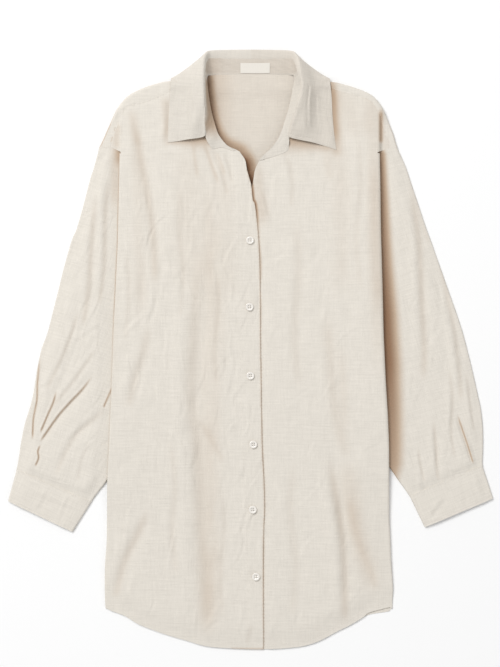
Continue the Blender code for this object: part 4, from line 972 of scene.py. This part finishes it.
def sleeve(side, rows, columns):
    """A sleeve, its head under the yoke's and the front's edges and its end inside the cuff."""
    end = [(p[0] + side * 0.9, p[1] - 2) for p in CUFF[side][:2]]
    outer, inner, armhole = (*OUTER[side][:-1], end[0]), (*INNER[side][:-1], end[1]), ARMHOLE[side]
    seed, lumps, small = SLEEVE_UNEVEN[side]
    lean = side * SLEEVE_LEAN

    def top(x, y, from_edge):
        clear = smooth((side * (x - fold_x(side, y)) - 2) / 26)
        high = SLEEVE_EDGE + (0.4 + SLEEVE_LOFT * clear) * smooth(from_edge / 20)
        detail = folds(x, y, SLEEVE_FOLDS[side]) + creases(x, y, SLEEVE_CREASES[side])
        detail += lumps * rumple(x, y, seed, lean) + crinkles(x, y, seed + 1, *small, lean)
        high += detail * (0.25 + 0.75 * clear) * smooth(from_edge / 7)
        to_cuff, _ = distance(x, y, end)
        gathered = CUFF_EDGE - 0.4 + (CUFF_MIDDLE - CUFF_EDGE) * smooth(from_edge / 16)
        pleats = 0.5 * value_noise(x, y, (5, 12), 44)
        gathered = gathered + pleats * smooth(to_cuff / 3) * smooth(from_edge / 8)
        high = gathered + (high - gathered) * smooth((to_cuff - 1) / 15)
        to_head, _ = distance(x, y, armhole[:3])
        high = high + (FLUSH - 0.1 - high) * (1 - smooth((to_head - 5.5) / 10))
        return np.maximum(high, SLEEVE_EDGE - 0.3 * smooth(from_edge))

    lines = under_yoke(outer), inner, under_yoke(armhole), end
    return tube(side, *lines, rows, columns, SLEEVE_EDGE, top, lambda x, y: 0 * x)


def cuff(side, rows, columns):
    """A cuff, with two rows of stitches and the bump that its button underneath makes."""
    a, b, c, d = CUFF[side]

    def bump(x, y):
        across, up = CUFF_BUTTONS[side]
        return np.exp(-((np.hypot(x - across, y - up) / BUMP_WIDE) ** 2))

    def top(x, y, from_edge):
        high = CUFF_EDGE + (CUFF_MIDDLE - CUFF_EDGE + CUFF_BUMP * bump(x, y)) * smooth(from_edge / 16)
        detail = creases(x, y, CUFF_CREASES[side]) + 0.8 * rumple(x, y, CUFF_UNEVEN[side], side * CUFF_LEAN)
        for line, seed in (((a, b), 62), ((d, c), 63)):
            detail += stitched(x, y, distance(x, y, line)[0], STITCH_IN + 1.2, seed)
        return high + detail * smooth(from_edge / 5)

    lines = (a, d), (b, c), (a, b), (d, c)
    return tube(side, *lines, rows, columns, CUFF_EDGE, top, lambda x, y: CUFF_DENT * bump(x, y))


def leaf(rows, columns):
    """The collar's leaf, with its creases, and its edges turned in and stitched."""
    r, c = np.linspace(0, len(LEAF) - 1, rows), np.linspace(0, len(LEAF[0]) - 1, columns)
    points = net(LEAF, r, c)
    ahead = np.linalg.norm(np.gradient(points, axis=0), axis=-1)
    down = np.linalg.norm(np.gradient(points, axis=1), axis=-1)
    along_it, across_it = np.cumsum(ahead, axis=0), np.cumsum(down, axis=1)
    to_edge = np.minimum(across_it[:, -1:] - across_it, np.minimum(along_it, along_it[-1:] - along_it))
    rr, cc = np.meshgrid(r, c, indexing="ij")
    lift = creases(rr, cc, LEAF_CREASES[LEFT]) + creases(rr, cc, LEAF_CREASES[RIGHT])
    lift += 0.45 * rumple(along_it * 0.8, across_it, 81)
    lift += stitched(along_it, across_it, to_edge, LEAF_STITCH, 82)
    lift += 0.3 * value_noise(along_it, across_it, (5, 4), 83) * np.exp(-((across_it / 5) ** 2))
    crown = np.interp(r, (4, 6, 12, 14), (1, 0.2, 0.2, 1))[:, None]  # less relief round the back of the neck
    points[..., 2] += lift * crown * smooth((cc - 0.4) / 0.8)
    points[..., 2] -= 0.35 * np.exp(-((across_it / 3) ** 2)) * smooth((points[:, :1, 1] - 416) / 4)
    x, y = points[..., 0], points[..., 1]
    down = np.where(x < 0, front_top(LEFT, x, y) + 0.1, front_top(RIGHT, x, y) + 0.2) + CLOTH
    lower = smooth((cc - 3) / 3) * smooth((382 - y) / 12) * crown
    points[..., 2] += (down - points[..., 2]) * lower - 0.8 * (1 - smooth(to_edge / 2.8)) * lower
    inward = points[:, 0] - points[:, 2]
    inward /= np.linalg.norm(inward, axis=-1)[:, None]
    return np.concatenate([(points[:, 0] + 1.6 * inward - (0, 0, 0.45))[:, None], points], axis=1)


def stand(rows, columns):
    """The collar's stand, its inner face seen, standing from the neck's seam."""
    points = net(STAND, np.linspace(0, len(STAND) - 1, rows), np.linspace(0, 1, columns))
    along_it = np.cumsum(np.linalg.norm(np.gradient(points, axis=0), axis=-1), axis=0)
    across_it = np.linalg.norm(points - points[:, :1], axis=-1)
    pucker = 0.35 * value_noise(along_it, across_it, (6, 9), 91)
    pucker += 0.25 * value_noise(along_it, across_it, (17, 30), 92)
    pucker -= 0.25 * np.exp(-(((across_it - 2.2) / 1.0) ** 2))
    points[..., 2] += pucker * smooth(across_it / 4)
    r = np.linspace(0, len(STAND) - 1, rows)[:, None]
    x, y, z = np.moveaxis(points, -1, 0)
    left, right = 1 - smooth((r - 2.6) / 1.6), smooth((r - len(STAND) + 4.4) / 1.4)
    z += (front_top(LEFT, x, y) + 0.7 + 0.5 * pucker - z) * left
    z += (front_top(RIGHT, x, y) + 0.7 + 0.5 * pucker - z) * right
    last = points[:, -1] - points[:, -3]
    last /= np.linalg.norm(last, axis=-1)[:, None]
    first = points[:, 0] - points[:, 2]
    first /= np.linalg.norm(first, axis=-1)[:, None]
    sunk = 0.7 * smooth((points[:, :1, 1] - 392) / 5) * (0, 0, 1)
    seam = points[:, 0] + 1.6 * first - sunk
    crest = points[:, -1] + 2 * last - (0, 0, 0.5) - (left + right) * (0, 0, 0.8)
    return np.concatenate([seam[:, None], points, crest[:, None]], axis=1)


def circle(segments):
    turns = np.linspace(0, 2 * np.pi, segments, endpoint=False)
    return np.column_stack([np.cos(turns), np.sin(turns)])


def button(segments, hole_segments):
    """A button face up at the origin: a rim round a shallow dish, with four holes through it."""
    rim, hole = circle(segments), circle(hole_segments) * HOLE_RADIUS
    centres = np.array(((1, 1), (-1, 1), (-1, -1), (1, -1))) * HOLE_OUT
    holes = np.concatenate([hole + centre for centre in centres])
    loops = [(0, segments)] + [(segments + i * hole_segments, hole_segments) for i in range(len(centres))]

    def level(flat, z):
        return np.column_stack([flat, np.full(len(flat), z * BUTTON_THICK)])

    rings = [level(rim * BUTTON_RADIUS * r, z) for r, z in BUTTON_RINGS]
    (low_r, low_z), (top_r, top_z) = BUTTON_RINGS[0], BUTTON_RINGS[-1]
    patches = [lattice(np.array(rings), flip=True, around=True)]
    for r, z, up in ((top_r, top_z, 1), (low_r, low_z, -1)):
        flat = np.concatenate([rim * BUTTON_RADIUS * r, holes])
        faces = filled(flat, loops)
        from_holes = np.linalg.norm(flat[faces].mean(1)[:, None] - centres, axis=-1).min(1)
        faces = faces[from_holes >= HOLE_RADIUS * 0.7][:, ::up]
        patches.append((level(flat, z), faces))
    for centre in centres:
        walls = [level(hole + centre, z) for z in (low_z, top_z)]
        patches.append(lattice(np.array(walls), around=True))
    return join(*patches)


def cross_of_thread():
    """Two strands over a button at the origin, each from one hole up and across to the hole opposite."""
    ring, strands = circle(STRAND_SIDES), []
    for a, b in (((1, 1), (-1, -1)), ((-1, 1), (1, -1))):
        ends = np.array([a, b], float) * HOLE_OUT
        run = (ends[1] - ends[0]) / np.linalg.norm(ends[1] - ends[0])
        s = np.linspace(0, 1, 9)
        flat = ends[0] + (ends[1] - ends[0]) * s[:, None]
        path = np.column_stack([flat, STRAND_LOW + STRAND_RISE * np.sin(np.pi * s) ** 0.5])
        round_it = np.column_stack([-run[1] * ring[:, 0], run[0] * ring[:, 0], ring[:, 1]]) * STRAND_RADIUS
        strands.append(lattice(path[:, None] + round_it[None], around=True))
    return join(*strands)


def placed(patch, centre, normal):
    """A patch built at the origin, stood on a place along a normal."""
    points, faces = patch
    normal = np.asarray(normal, float) / np.linalg.norm(normal)
    first = np.cross((0, 1, 0), normal)
    first /= np.linalg.norm(first)
    second = np.cross(normal, first)
    return points @ np.array([first, second, normal]) + centre, faces


def node_of(thing, kind):
    return next(n for n in thing.node_tree.nodes if n.type == kind)


def material(name, colour, roughness):
    made = bpy.data.materials.new(name)
    made.use_nodes = True
    shader = node_of(made, "BSDF_PRINCIPLED")
    shader.inputs["Base Color"].default_value = (*colour, 1)
    shader.inputs["Roughness"].default_value = roughness
    return made


class Graph:
    """A material's nodes, put together a step at a time."""

    def __init__(self, made, uv=None):
        self.nodes, self.link = made.node_tree.nodes, made.node_tree.links.new
        self.shader = node_of(made, "BSDF_PRINCIPLED")
        if uv:
            source = self.nodes.new("ShaderNodeUVMap")
            source.uv_map = uv
            self.where = source.outputs["UV"]
        else:
            self.where = self.nodes.new("ShaderNodeTexCoord").outputs["Object"]

    def noise(self, scale, detail):
        mapping = self.nodes.new("ShaderNodeMapping")
        mapping.inputs["Scale"].default_value = scale
        self.link(self.where, mapping.inputs["Vector"])
        node = self.nodes.new("ShaderNodeTexNoise")
        node.inputs["Scale"].default_value = 1.0
        node.inputs["Detail"].default_value = detail
        node.inputs["Roughness"].default_value = 0.5
        self.link(mapping.outputs["Vector"], node.inputs["Vector"])
        return node.outputs["Fac"]

    def combine(self, operation, a, b):
        node = self.nodes.new("ShaderNodeMath")
        node.operation = operation
        for socket, value in zip(node.inputs, (a, b)):
            if isinstance(value, (int, float)):
                socket.default_value = value
            else:
                self.link(value, socket)
        return node.outputs["Value"]

    def weighted(self, *parts):
        """The sum of several noises, each about nothing and times its weight."""
        total = 0.0
        for weight, noise in parts:
            part = self.combine("MULTIPLY", self.combine("SUBTRACT", noise, 0.5), weight)
            total = self.combine("ADD", total, part)
        return total

    def mix(self, factor, a, b):
        node = self.nodes.new("ShaderNodeMix")
        node.data_type = "RGBA"
        for socket, value in ((node.inputs[6], a), (node.inputs[7], b)):
            if isinstance(value, tuple):
                socket.default_value = (*value, 1)
            else:
                self.link(value, socket)
        self.link(factor, node.inputs[0])
        return node.outputs[2]

    def bump(self, height, strength, distance):
        node = self.nodes.new("ShaderNodeBump")
        node.inputs["Strength"].default_value = strength
        node.inputs["Distance"].default_value = distance
        self.link(height, node.inputs["Height"])
        self.link(node.outputs["Normal"], self.shader.inputs["Normal"])


def linen_material(name, colour):
    """Woven linen: thick and thin threads in the colour and the relief, and painted shade, warm then deep, in
    the gaps.
    """
    made = material(name, colour, 0.88)
    g = Graph(made, uv="cloth")
    g.shader.inputs["Sheen Weight"].default_value = 0.06
    g.shader.inputs["Sheen Roughness"].default_value = 0.5
    (fine, run), (thick, long) = THREADS, SLUBS
    threads = g.weighted((1.0, g.noise((fine, run, 1), 2)), (1.0, g.noise((run, fine, 1), 2)))
    across, along_it = g.noise((thick, long, 1), 3), g.noise((long, thick, 1), 3)
    slubs = g.weighted((1.0, across), (1.3, along_it), (0.6, g.noise(PATCHES, 4)))
    uneven = g.combine("ADD", g.combine("MULTIPLY", slubs, SLUB), g.combine("MULTIPLY", threads, SLUB * 0.6))
    light, dark = tuple(min(1, c * 1.25) for c in colour), tuple(c * 0.75 for c in colour)
    surface = g.mix(g.combine("ADD", uneven, 0.5), dark, light)
    # Painted shade: the cloth's attribute darkens the colour, first toward a warm shade, then toward the
    # deepest.
    painted_shade = g.nodes.new("ShaderNodeAttribute")
    painted_shade.attribute_name = "painted_shade"
    doubled = g.combine("MULTIPLY", painted_shade.outputs["Fac"], 2.0)
    for tone, already in ((WARM_SHADE, 0.0), (DEEP_SHADE, 1.0)):
        part = g.combine("SUBTRACT", doubled, already)
        part.node.use_clamp = True
        surface = g.mix(part, surface, tuple(c * w for c, w in zip(colour, tone)))
    g.link(surface, g.shader.inputs["Base Color"])
    g.bump(g.combine("ADD", threads, slubs), 0.5, 0.0007)
    return made


def plain_material(name, colour, roughness, scale, spread, coat=0.0):
    """A plain surface with a faint unevenness of tone."""
    made = material(name, colour, roughness)
    node_of(made, "BSDF_PRINCIPLED").inputs["Coat Weight"].default_value = coat
    g = Graph(made)
    tone = g.combine("ADD", g.weighted((1.0, g.noise(scale, 3))), 0.5)
    pair = (tuple(c * (1 - spread) for c in colour), tuple(min(1, c * (1 + spread)) for c in colour))
    g.link(g.mix(tone, *pair), g.shader.inputs["Base Color"])
    return made


def mesh_piece(name, points, faces, surface):
    mesh = bpy.data.meshes.new(name)
    mesh.from_pydata((np.asarray(points) * MM).tolist(), [], [tuple(int(i) for i in f) for f in faces])
    mesh.shade_smooth()
    mesh.materials.append(surface)
    thing = bpy.data.objects.new(name, mesh)
    bpy.context.scene.collection.objects.link(thing)
    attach(thing, "root")
    return thing


def edge_uses(faces):
    """How many faces have each edge."""
    found = {}
    for face in faces:
        for a, b in zip(face, (*face[1:], face[0])):
            key = (int(min(a, b)), int(max(a, b)))
            found[key] = found.get(key, 0) + 1
    return found


def cloth(name, node, patch, thickness, surface, lean=0.0, painted_shade=None, rim=0.0):
    """A sheet, from the outer face of its cloth. lean turns its threads, its shade function gives the shade
    painted into its colour at each point, and rim is the shade painted along its cut edges near the middle of
    the shirt."""
    points, faces = patch
    points = np.asarray(points, float).reshape(-1, 3)
    thing = mesh_piece(name, points, faces, surface)
    mesh = thing.data
    c, s = math.cos(math.radians(lean)), math.sin(math.radians(lean))
    uv = points[:, :2] @ np.array([[c, -s], [s, c]]) * MM
    corners = np.zeros(len(mesh.loops), np.int32)
    mesh.loops.foreach_get("vertex_index", corners)
    mesh.uv_layers.new(name="cloth").data.foreach_set("uv", uv[corners].ravel().astype(np.float32))
    # The shade painted into the colour: from the piece's shade function, and along its cut edges near the
    # opening.
    tone = np.zeros(len(points)) if painted_shade is None else np.clip(painted_shade(*points.T), 0, 1)
    ends = {e for e, n in edge_uses(faces).items() if n == 1}
    edge = [v for e in ends for v in e]
    by_opening = (np.abs(points[edge, 0]) < RIM_REACH) * (points[edge, 1] < PLACKET_TOP)
    tone[edge] = np.maximum(tone[edge], rim * by_opening)
    mesh.attributes.new("painted_shade", "FLOAT", "POINT").data.foreach_set("value", tone.astype(np.float32))
    cut = [tuple(sorted(e.vertices)) in ends for e in mesh.edges]
    mesh.attributes.new("sharp_edge", "BOOLEAN", "EDGE").data.foreach_set("value", cut)
    shell = thing.modifiers.new("cloth", "SOLIDIFY")
    shell.thickness = thickness * MM
    shell.offset = -1
    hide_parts(node)
    trees[name] = BVHTree.FromPolygons(points.tolist(), [tuple(int(i) for i in f) for f in faces])
    return thing


def beside(line, d):
    """A line moved over by a distance, to the right where it runs down the shirt."""
    line = np.asarray(smoothed(line))
    run = np.gradient(line, axis=0)
    run /= np.linalg.norm(run, axis=1)[:, None]
    return line + d * np.column_stack([-run[:, 1], run[:, 0]])


def on_cloth(tree, x, y):
    """The place and the way up of the cloth under x, y, unless it is missing or steep there."""
    hit, normal, _, _ = tree.ray_cast(Vector((x, y, ABOVE_ALL)), Vector((0, 0, -1)))
    return [(np.array(hit), np.array(normal))] if hit is not None and normal.z > STEEP else []


def stitches(name, lines, on):
    """Rows of stitches, along lines seen from above, laid on a piece of cloth."""
    points, faces = [], []
    for line in lines:
        line = np.asarray(line, float)
        line = evenly(line, max(3, int(np.linalg.norm(np.diff(line, axis=0), axis=1).sum() / STITCH_PITCH)))
        for a, b in zip(line[:-1], line[1:]):
            middle, half = (a + b) / 2, (b - a) / np.linalg.norm(b - a) * STITCH_LONG / 2
            ends = on_cloth(trees[on], *(middle - half)) + on_cloth(trees[on], *(middle + half))
            if len(ends) < 2 or abs(ends[0][0][2] - ends[1][0][2]) > STITCH_STEEP:
                continue
            (p, n), (q, m) = ends
            up = (n + m) / np.linalg.norm(n + m)
            across = np.cross(up, (q - p) / np.linalg.norm(q - p)) * STITCH_WIDE / 2
            start, quarter = len(points), (q - p) / 4
            points += [p - STITCH_SUNK * up, q - STITCH_SUNK * up]
            for base in (p + quarter, q - quarter):
                low = base - STITCH_BASE * up
                points += [low - across, low + across, base + STITCH_HIGH * up]
            faces += [tuple(start + i for i in face) for face in STITCH_FACES]
    mesh_piece(name, np.array(points), faces, thread)


# The curved outlines are smoothed once, here.
for lines in (HEM, OPENING, NECK, OUTER, INNER):
    for side in lines:
        lines[side] = smoothed(lines[side])
BACK_HEM, PLACKET = smoothed(BACK_HEM), smoothed(PLACKET)
trees = {}  # each piece of cloth, for laying stitches on it

linen = linen_material("linen", LINEN)
# The collar's linen is the shirt's, darkened as painted shade.
linen_collar_shaded = linen_material("linen_collar_shaded", COLLAR_SHADED)
thread = plain_material("thread", THREAD, 0.6, (900, 900, 900), 0.04)
pearl = plain_material("pearl", PEARL, 0.25, (260, 260, 260), 0.06, coat=0.3)
tape = plain_material("tape", TAPE, 0.8, (1200, 200, 1200), 0.05)


# Painted shade for the cloth: how deep in shade each point of a piece is, 0 to 1, painted into its colour
# alone.
def by_leaf(x, y):
    """The painted shade beside the collar's leaf: down its right edge, and under its two points."""
    edge = [p[-1][:2] for p in LEAF[-6:]]
    d, t = distance(x, y, edge)
    shade = np.exp(-((np.maximum(d - 1, 0) / 8) ** 2))
    shade *= smooth((t + 0.35) / 0.6) * (1 - 0.6 * smooth((t - 0.7) / 0.3))
    for end, reach in ((LEAF[-1], 15), (LEAF[0], 12)):
        d, t = distance(x, y, [end[i][:2] for i in (0, 3, 6)])
        under = np.exp(-((np.maximum(d - 1, 0) / (reach * (1.15 - t))) ** 2))
        shade = np.maximum(shade, under * (1 - 0.7 * t))
    return 0.55 * shade


def by_fold(x, y):
    """The painted shade in the notch where the right side's fold meets the yoke."""
    out = x - fold_x(RIGHT, np.minimum(y, SIDE_TOP + 3))
    return 0.6 * np.exp(-(((out - 2) / 3.5) ** 2)) * smooth((y - 296) / 8) * smooth((352 - y) / 14)


def painted_shade_back(x, y, z):
    """The painted shade of the back and yoke: inside the neck, most beside the left front, and by fold and
    leaf.
    """
    by_left = np.minimum(distance(x, y, NECK[LEFT])[0], distance(x, y, OPENING[LEFT][:24])[0])
    reach = 14 + 7 * smooth((330 - y) / 40)
    deep = 0.6 + 0.4 * smooth((290 - y) / 22)
    inner = 0.07 + 0.22 * (1 - smooth((x + 66) / 52)) + deep * (1 - smooth((by_left - 2) / reach)) ** 1.3
    inner = (0.02 + inner) * (y > 180)
    return np.where(z < 5, inner, np.maximum(by_fold(x, y), by_leaf(x, y)))


def painted_shade_left(x, y, z):
    """The painted shade of the left front: in its creases, by the leaf, and along its bands."""
    tone = np.maximum(painted_crease_shade(x, y, FRONT_CREASES[LEFT]), by_leaf(x, y) * (y < 340))
    return tone + painted_band_shade(x, y, SHADE_BANDS[LEFT])


def painted_shade_right(x, y, z):
    """The painted shade of the right front: in the V and beside the placket, at its fold, and by the leaf."""
    beyond = side_of(x, y, OPENING[LEFT])[0]
    in_v = 0.9 * (1 - smooth((beyond - 0.5) / 4.5)) * smooth((292 - y) / 12) * smooth((y - 150) / 70)
    wide = (1.2 + 1.5 * np.exp(-(((y - 130) / 26) ** 2))) * (1 + 0.7 * value_noise(0 * x, y, (9, 22), 37))
    in_v = np.maximum(in_v, 0.45 * (1 - smooth((beyond - 0.4) / np.maximum(wide, 0.4))) * (y < 292))
    out = x - fold_x(RIGHT, y)
    gap = 0.12 * smooth((out + 1.4) / 1.4) * (0.3 + 0.7 * smooth((y + 40) / 90)) * smooth((282 - y) / 10)
    gap = np.maximum(gap, 0.07 * smooth((out + 26) / 16) * smooth((y + 60) / 100))
    tones = (in_v, gap, by_fold(x, y), by_leaf(x, y), painted_crease_shade(x, y, FRONT_CREASES[RIGHT]))
    return np.max(tones, axis=0) + painted_band_shade(x, y, SHADE_BANDS[RIGHT])


def painted_shade_sleeve_left(x, y, z):
    """The painted shade of the left sleeve: a line beside the body, deeper in the notch under the shoulder.
    """
    out = fold_x(LEFT, y) - x
    line = 0.35 * (1 - smooth((out - 0.5) / 2.2)) * smooth((330 - y) / 20)
    line *= 0.25 + 0.75 * smooth((y + 60) / 160)
    notch = 0.35 * (1 - smooth((out - 1) / 10)) * smooth((303 - y) / 8) * smooth((y - 258) / 24)
    notch += 0.16 * (1 - smooth((out - 7) / 10)) * smooth((300 - y) / 10) * smooth((y - 190) / 40)
    return np.max((line, notch, painted_crease_shade(x, y, SLEEVE_CREASES[LEFT]) * (z > 3)), axis=0)


def painted_shade_sleeve_right(x, y, z):
    """The painted shade of the right sleeve: in the gap beside the body, as the gap's table says."""
    out = x - fold_x(RIGHT, y)
    reach = row(GAP_SHADE, y, 1)
    gap = row(GAP_SHADE, y, 2) * (1 - smooth((out - 0.25 * reach) / reach))
    return np.maximum(gap, painted_crease_shade(x, y, SLEEVE_CREASES[RIGHT]) * (z > 3))


def painted_shade_leaf(x, y, z):
    """The painted shade of the collar's leaf: faint along its edges, and fainter over its right half."""
    edges = [distance(x, y, [p[-1][:2] for p in part])[0] for part in (LEAF[:7], LEAF[-7:])]
    edges += [distance(x, y, [p[:2] for p in LEAF[i]])[0] for i in (0, -1)]
    return np.where(np.min(edges, axis=0) < 0.7, 0.08, 0.04 * (x > 0))


def painted_shade_stand(x, y, z):
    """The painted shade of the collar's stand: down inside the left of the neck, and along its back."""
    left = 0.5 * smooth((-x - 30) / 20) * smooth((395 - y) / 10)
    left *= smooth((26 - z) / 10) * smooth((y - 298) / 30)
    back = (0.12 + 0.12 * smooth((-x - 34) / 26)) * smooth((y - 396) / 6) * smooth((432 - y) / 8)
    return np.maximum(left, back)


# The cloth
cloth("back_cloth", "back", back(*BACK_STEP), CLOTH, linen, painted_shade=painted_shade_back)
cloth("yoke_cloth", "yoke", yoke(*YOKE_STEP), CLOTH, linen, painted_shade=painted_shade_back)
for side, word, painted_shade, rim in ((LEFT, "left", painted_shade_left, CUT_EDGE_SHADE), (RIGHT, "right", painted_shade_right, 0.0)):
    patch = front(side, *FRONT_STEP[side])
    cloth(f"front_{word}_cloth", f"front_{word}", patch, CLOTH, linen, 0.0, painted_shade, rim)
for side, word, painted_shade in ((LEFT, "left", painted_shade_sleeve_left), (RIGHT, "right", painted_shade_sleeve_right)):
    patch = sleeve(side, *SLEEVE_NET[side])
    cloth(f"sleeve_{word}_cloth", f"sleeve_{word}", patch, CLOTH, linen, side * SLEEVE_LEAN, painted_shade)
for side, word in ((LEFT, "left"), (RIGHT, "right")):
    patch = cuff(side, *CUFF_NET)
    cloth(f"cuff_{word}_cloth", f"cuff_{word}", patch, CUFF_CLOTH, linen, side * CUFF_LEAN)
leaf_net = leaf(*LEAF_NET)
patch = lattice(stand(*STAND_NET))
cloth("collar_stand_cloth", "collar_stand", patch, CLOTH, linen_collar_shaded, STAND_LEAN, painted_shade_stand)
cloth("collar_leaf_cloth", "collar_leaf", lattice(leaf_net), CLOTH, linen_collar_shaded, LEAF_LEAN, painted_shade_leaf)
tag_rows, tag_columns = (np.linspace(*ends, n) for ends, n in zip((LABEL_ROWS, LABEL_COLUMNS), LABEL_NET))
tag = net(STAND, tag_rows, tag_columns) + (0, 0, 0.35 + LABEL_CLOTH)
label = cloth("label_tape", "label", lattice(tag), LABEL_CLOTH, tape)

# Stitches, each row without the stretches that another piece covers
edge_row, placket_row = beside(OPENING[LEFT], -STITCH_IN), beside(PLACKET, STITCH_IN)
left_row, right_row = (beside(HEM[side], HEM_STITCH) for side in (LEFT, RIGHT))
edge_row = edge_row[edge_row[:, 1] < PLACKET_TOP]
stitches("stitches_left", (edge_row, placket_row, left_row[4:-2]), "front_left_cloth")
stitches("stitches_right", (right_row[3:-4],), "front_right_cloth")
yoke_rows = [beside(YOKE_SEAM[side], side * STITCH_IN)[6:-8] for side in (LEFT, RIGHT)]
stitches("stitches_yoke", yoke_rows, "yoke_cloth")

# The leaf's rows of stitches lie as far in from its outer edge all round, and follow its two front edges.
leaf_net = leaf_net[:, 1:]
to_edge = np.cumsum(np.linalg.norm(np.gradient(leaf_net, axis=1), axis=-1), axis=1)
edge_at = [int(np.argmin(abs(found[-1] - found - LEAF_STITCH))) for found in to_edge]
outer_row = np.array([leaf_net[i, j, :2] for i, j in enumerate(edge_at)])
front_rows = [leaf_net[i, 3 : edge_at[i], :2] for i in (5, -6)]
stitches("stitches_leaf", (outer_row[5:125], outer_row[236:355], *front_rows), "collar_leaf_cloth")
for side, word in ((LEFT, "left"), (RIGHT, "right")):
    corners = np.array(CUFF[side])
    inset = corners.mean(0) + (corners - corners.mean(0)) * CUFF_STITCH
    stitches(f"stitches_cuff_{word}", zip(inset, np.roll(inset, -1, axis=0)), f"cuff_{word}_cloth")

# Buttons
disc, strands = button(BUTTON_SIDES, HOLE_SIDES), cross_of_thread()
for i, (x, y) in enumerate(BUTTONS, 1):
    found = [float(front_top(LEFT, x + dx, y + dy)[0]) for dx, dy in BUTTON_TOUCH]
    normal = ((found[1] - found[2]) / 10, (found[3] - found[4]) / 10, 1)
    centre = (x, y, sum(found) / len(found) + BUTTON_OFF)
    face = mesh_piece(f"button_{i}_disc", *placed(disc, centre, normal), pearl)
    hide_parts(f"button_{i}")
    mesh_piece(f"button_{i}_thread", *placed(strands, centre, normal), thread)
for name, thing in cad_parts.items():
    if name.startswith("cuff_button"):
        thing.data.materials.clear()
        thing.data.materials.append(pearl)

# The stage
bpy.ops.mesh.primitive_plane_add(size=FLOOR_SIZE)
floor = bpy.context.object
floor.name = "floor"
floor.data.materials.append(material("floor", FLOOR, 0.9))

for name, (place, size, watts) in LIGHTS.items():
    light = bpy.data.lights.new(name, "AREA")
    light.size, light.energy = size, watts
    thing = bpy.data.objects.new(name, light)
    thing.location = place
    thing.rotation_mode = "QUATERNION"
    thing.rotation_quaternion = (-Vector(place)).to_track_quat("-Z", "Y")
    bpy.context.scene.collection.objects.link(thing)

world = bpy.data.worlds.new("studio")
world.use_nodes = True
sky = node_of(world, "BACKGROUND")
sky.inputs["Color"].default_value = (1, 1, 1, 1)
sky.inputs["Strength"].default_value = SKY
bpy.context.scene.world = world
bpy.context.scene.view_settings.view_transform = "Standard"

lens = bpy.data.cameras.new("camera")
lens.lens, lens.sensor_width, lens.clip_end = LENS, SENSOR, FARTHEST
camera = bpy.data.objects.new("camera", lens)
camera.location = CAMERA_AT
bpy.context.scene.collection.objects.link(camera)
bpy.context.scene.camera = camera
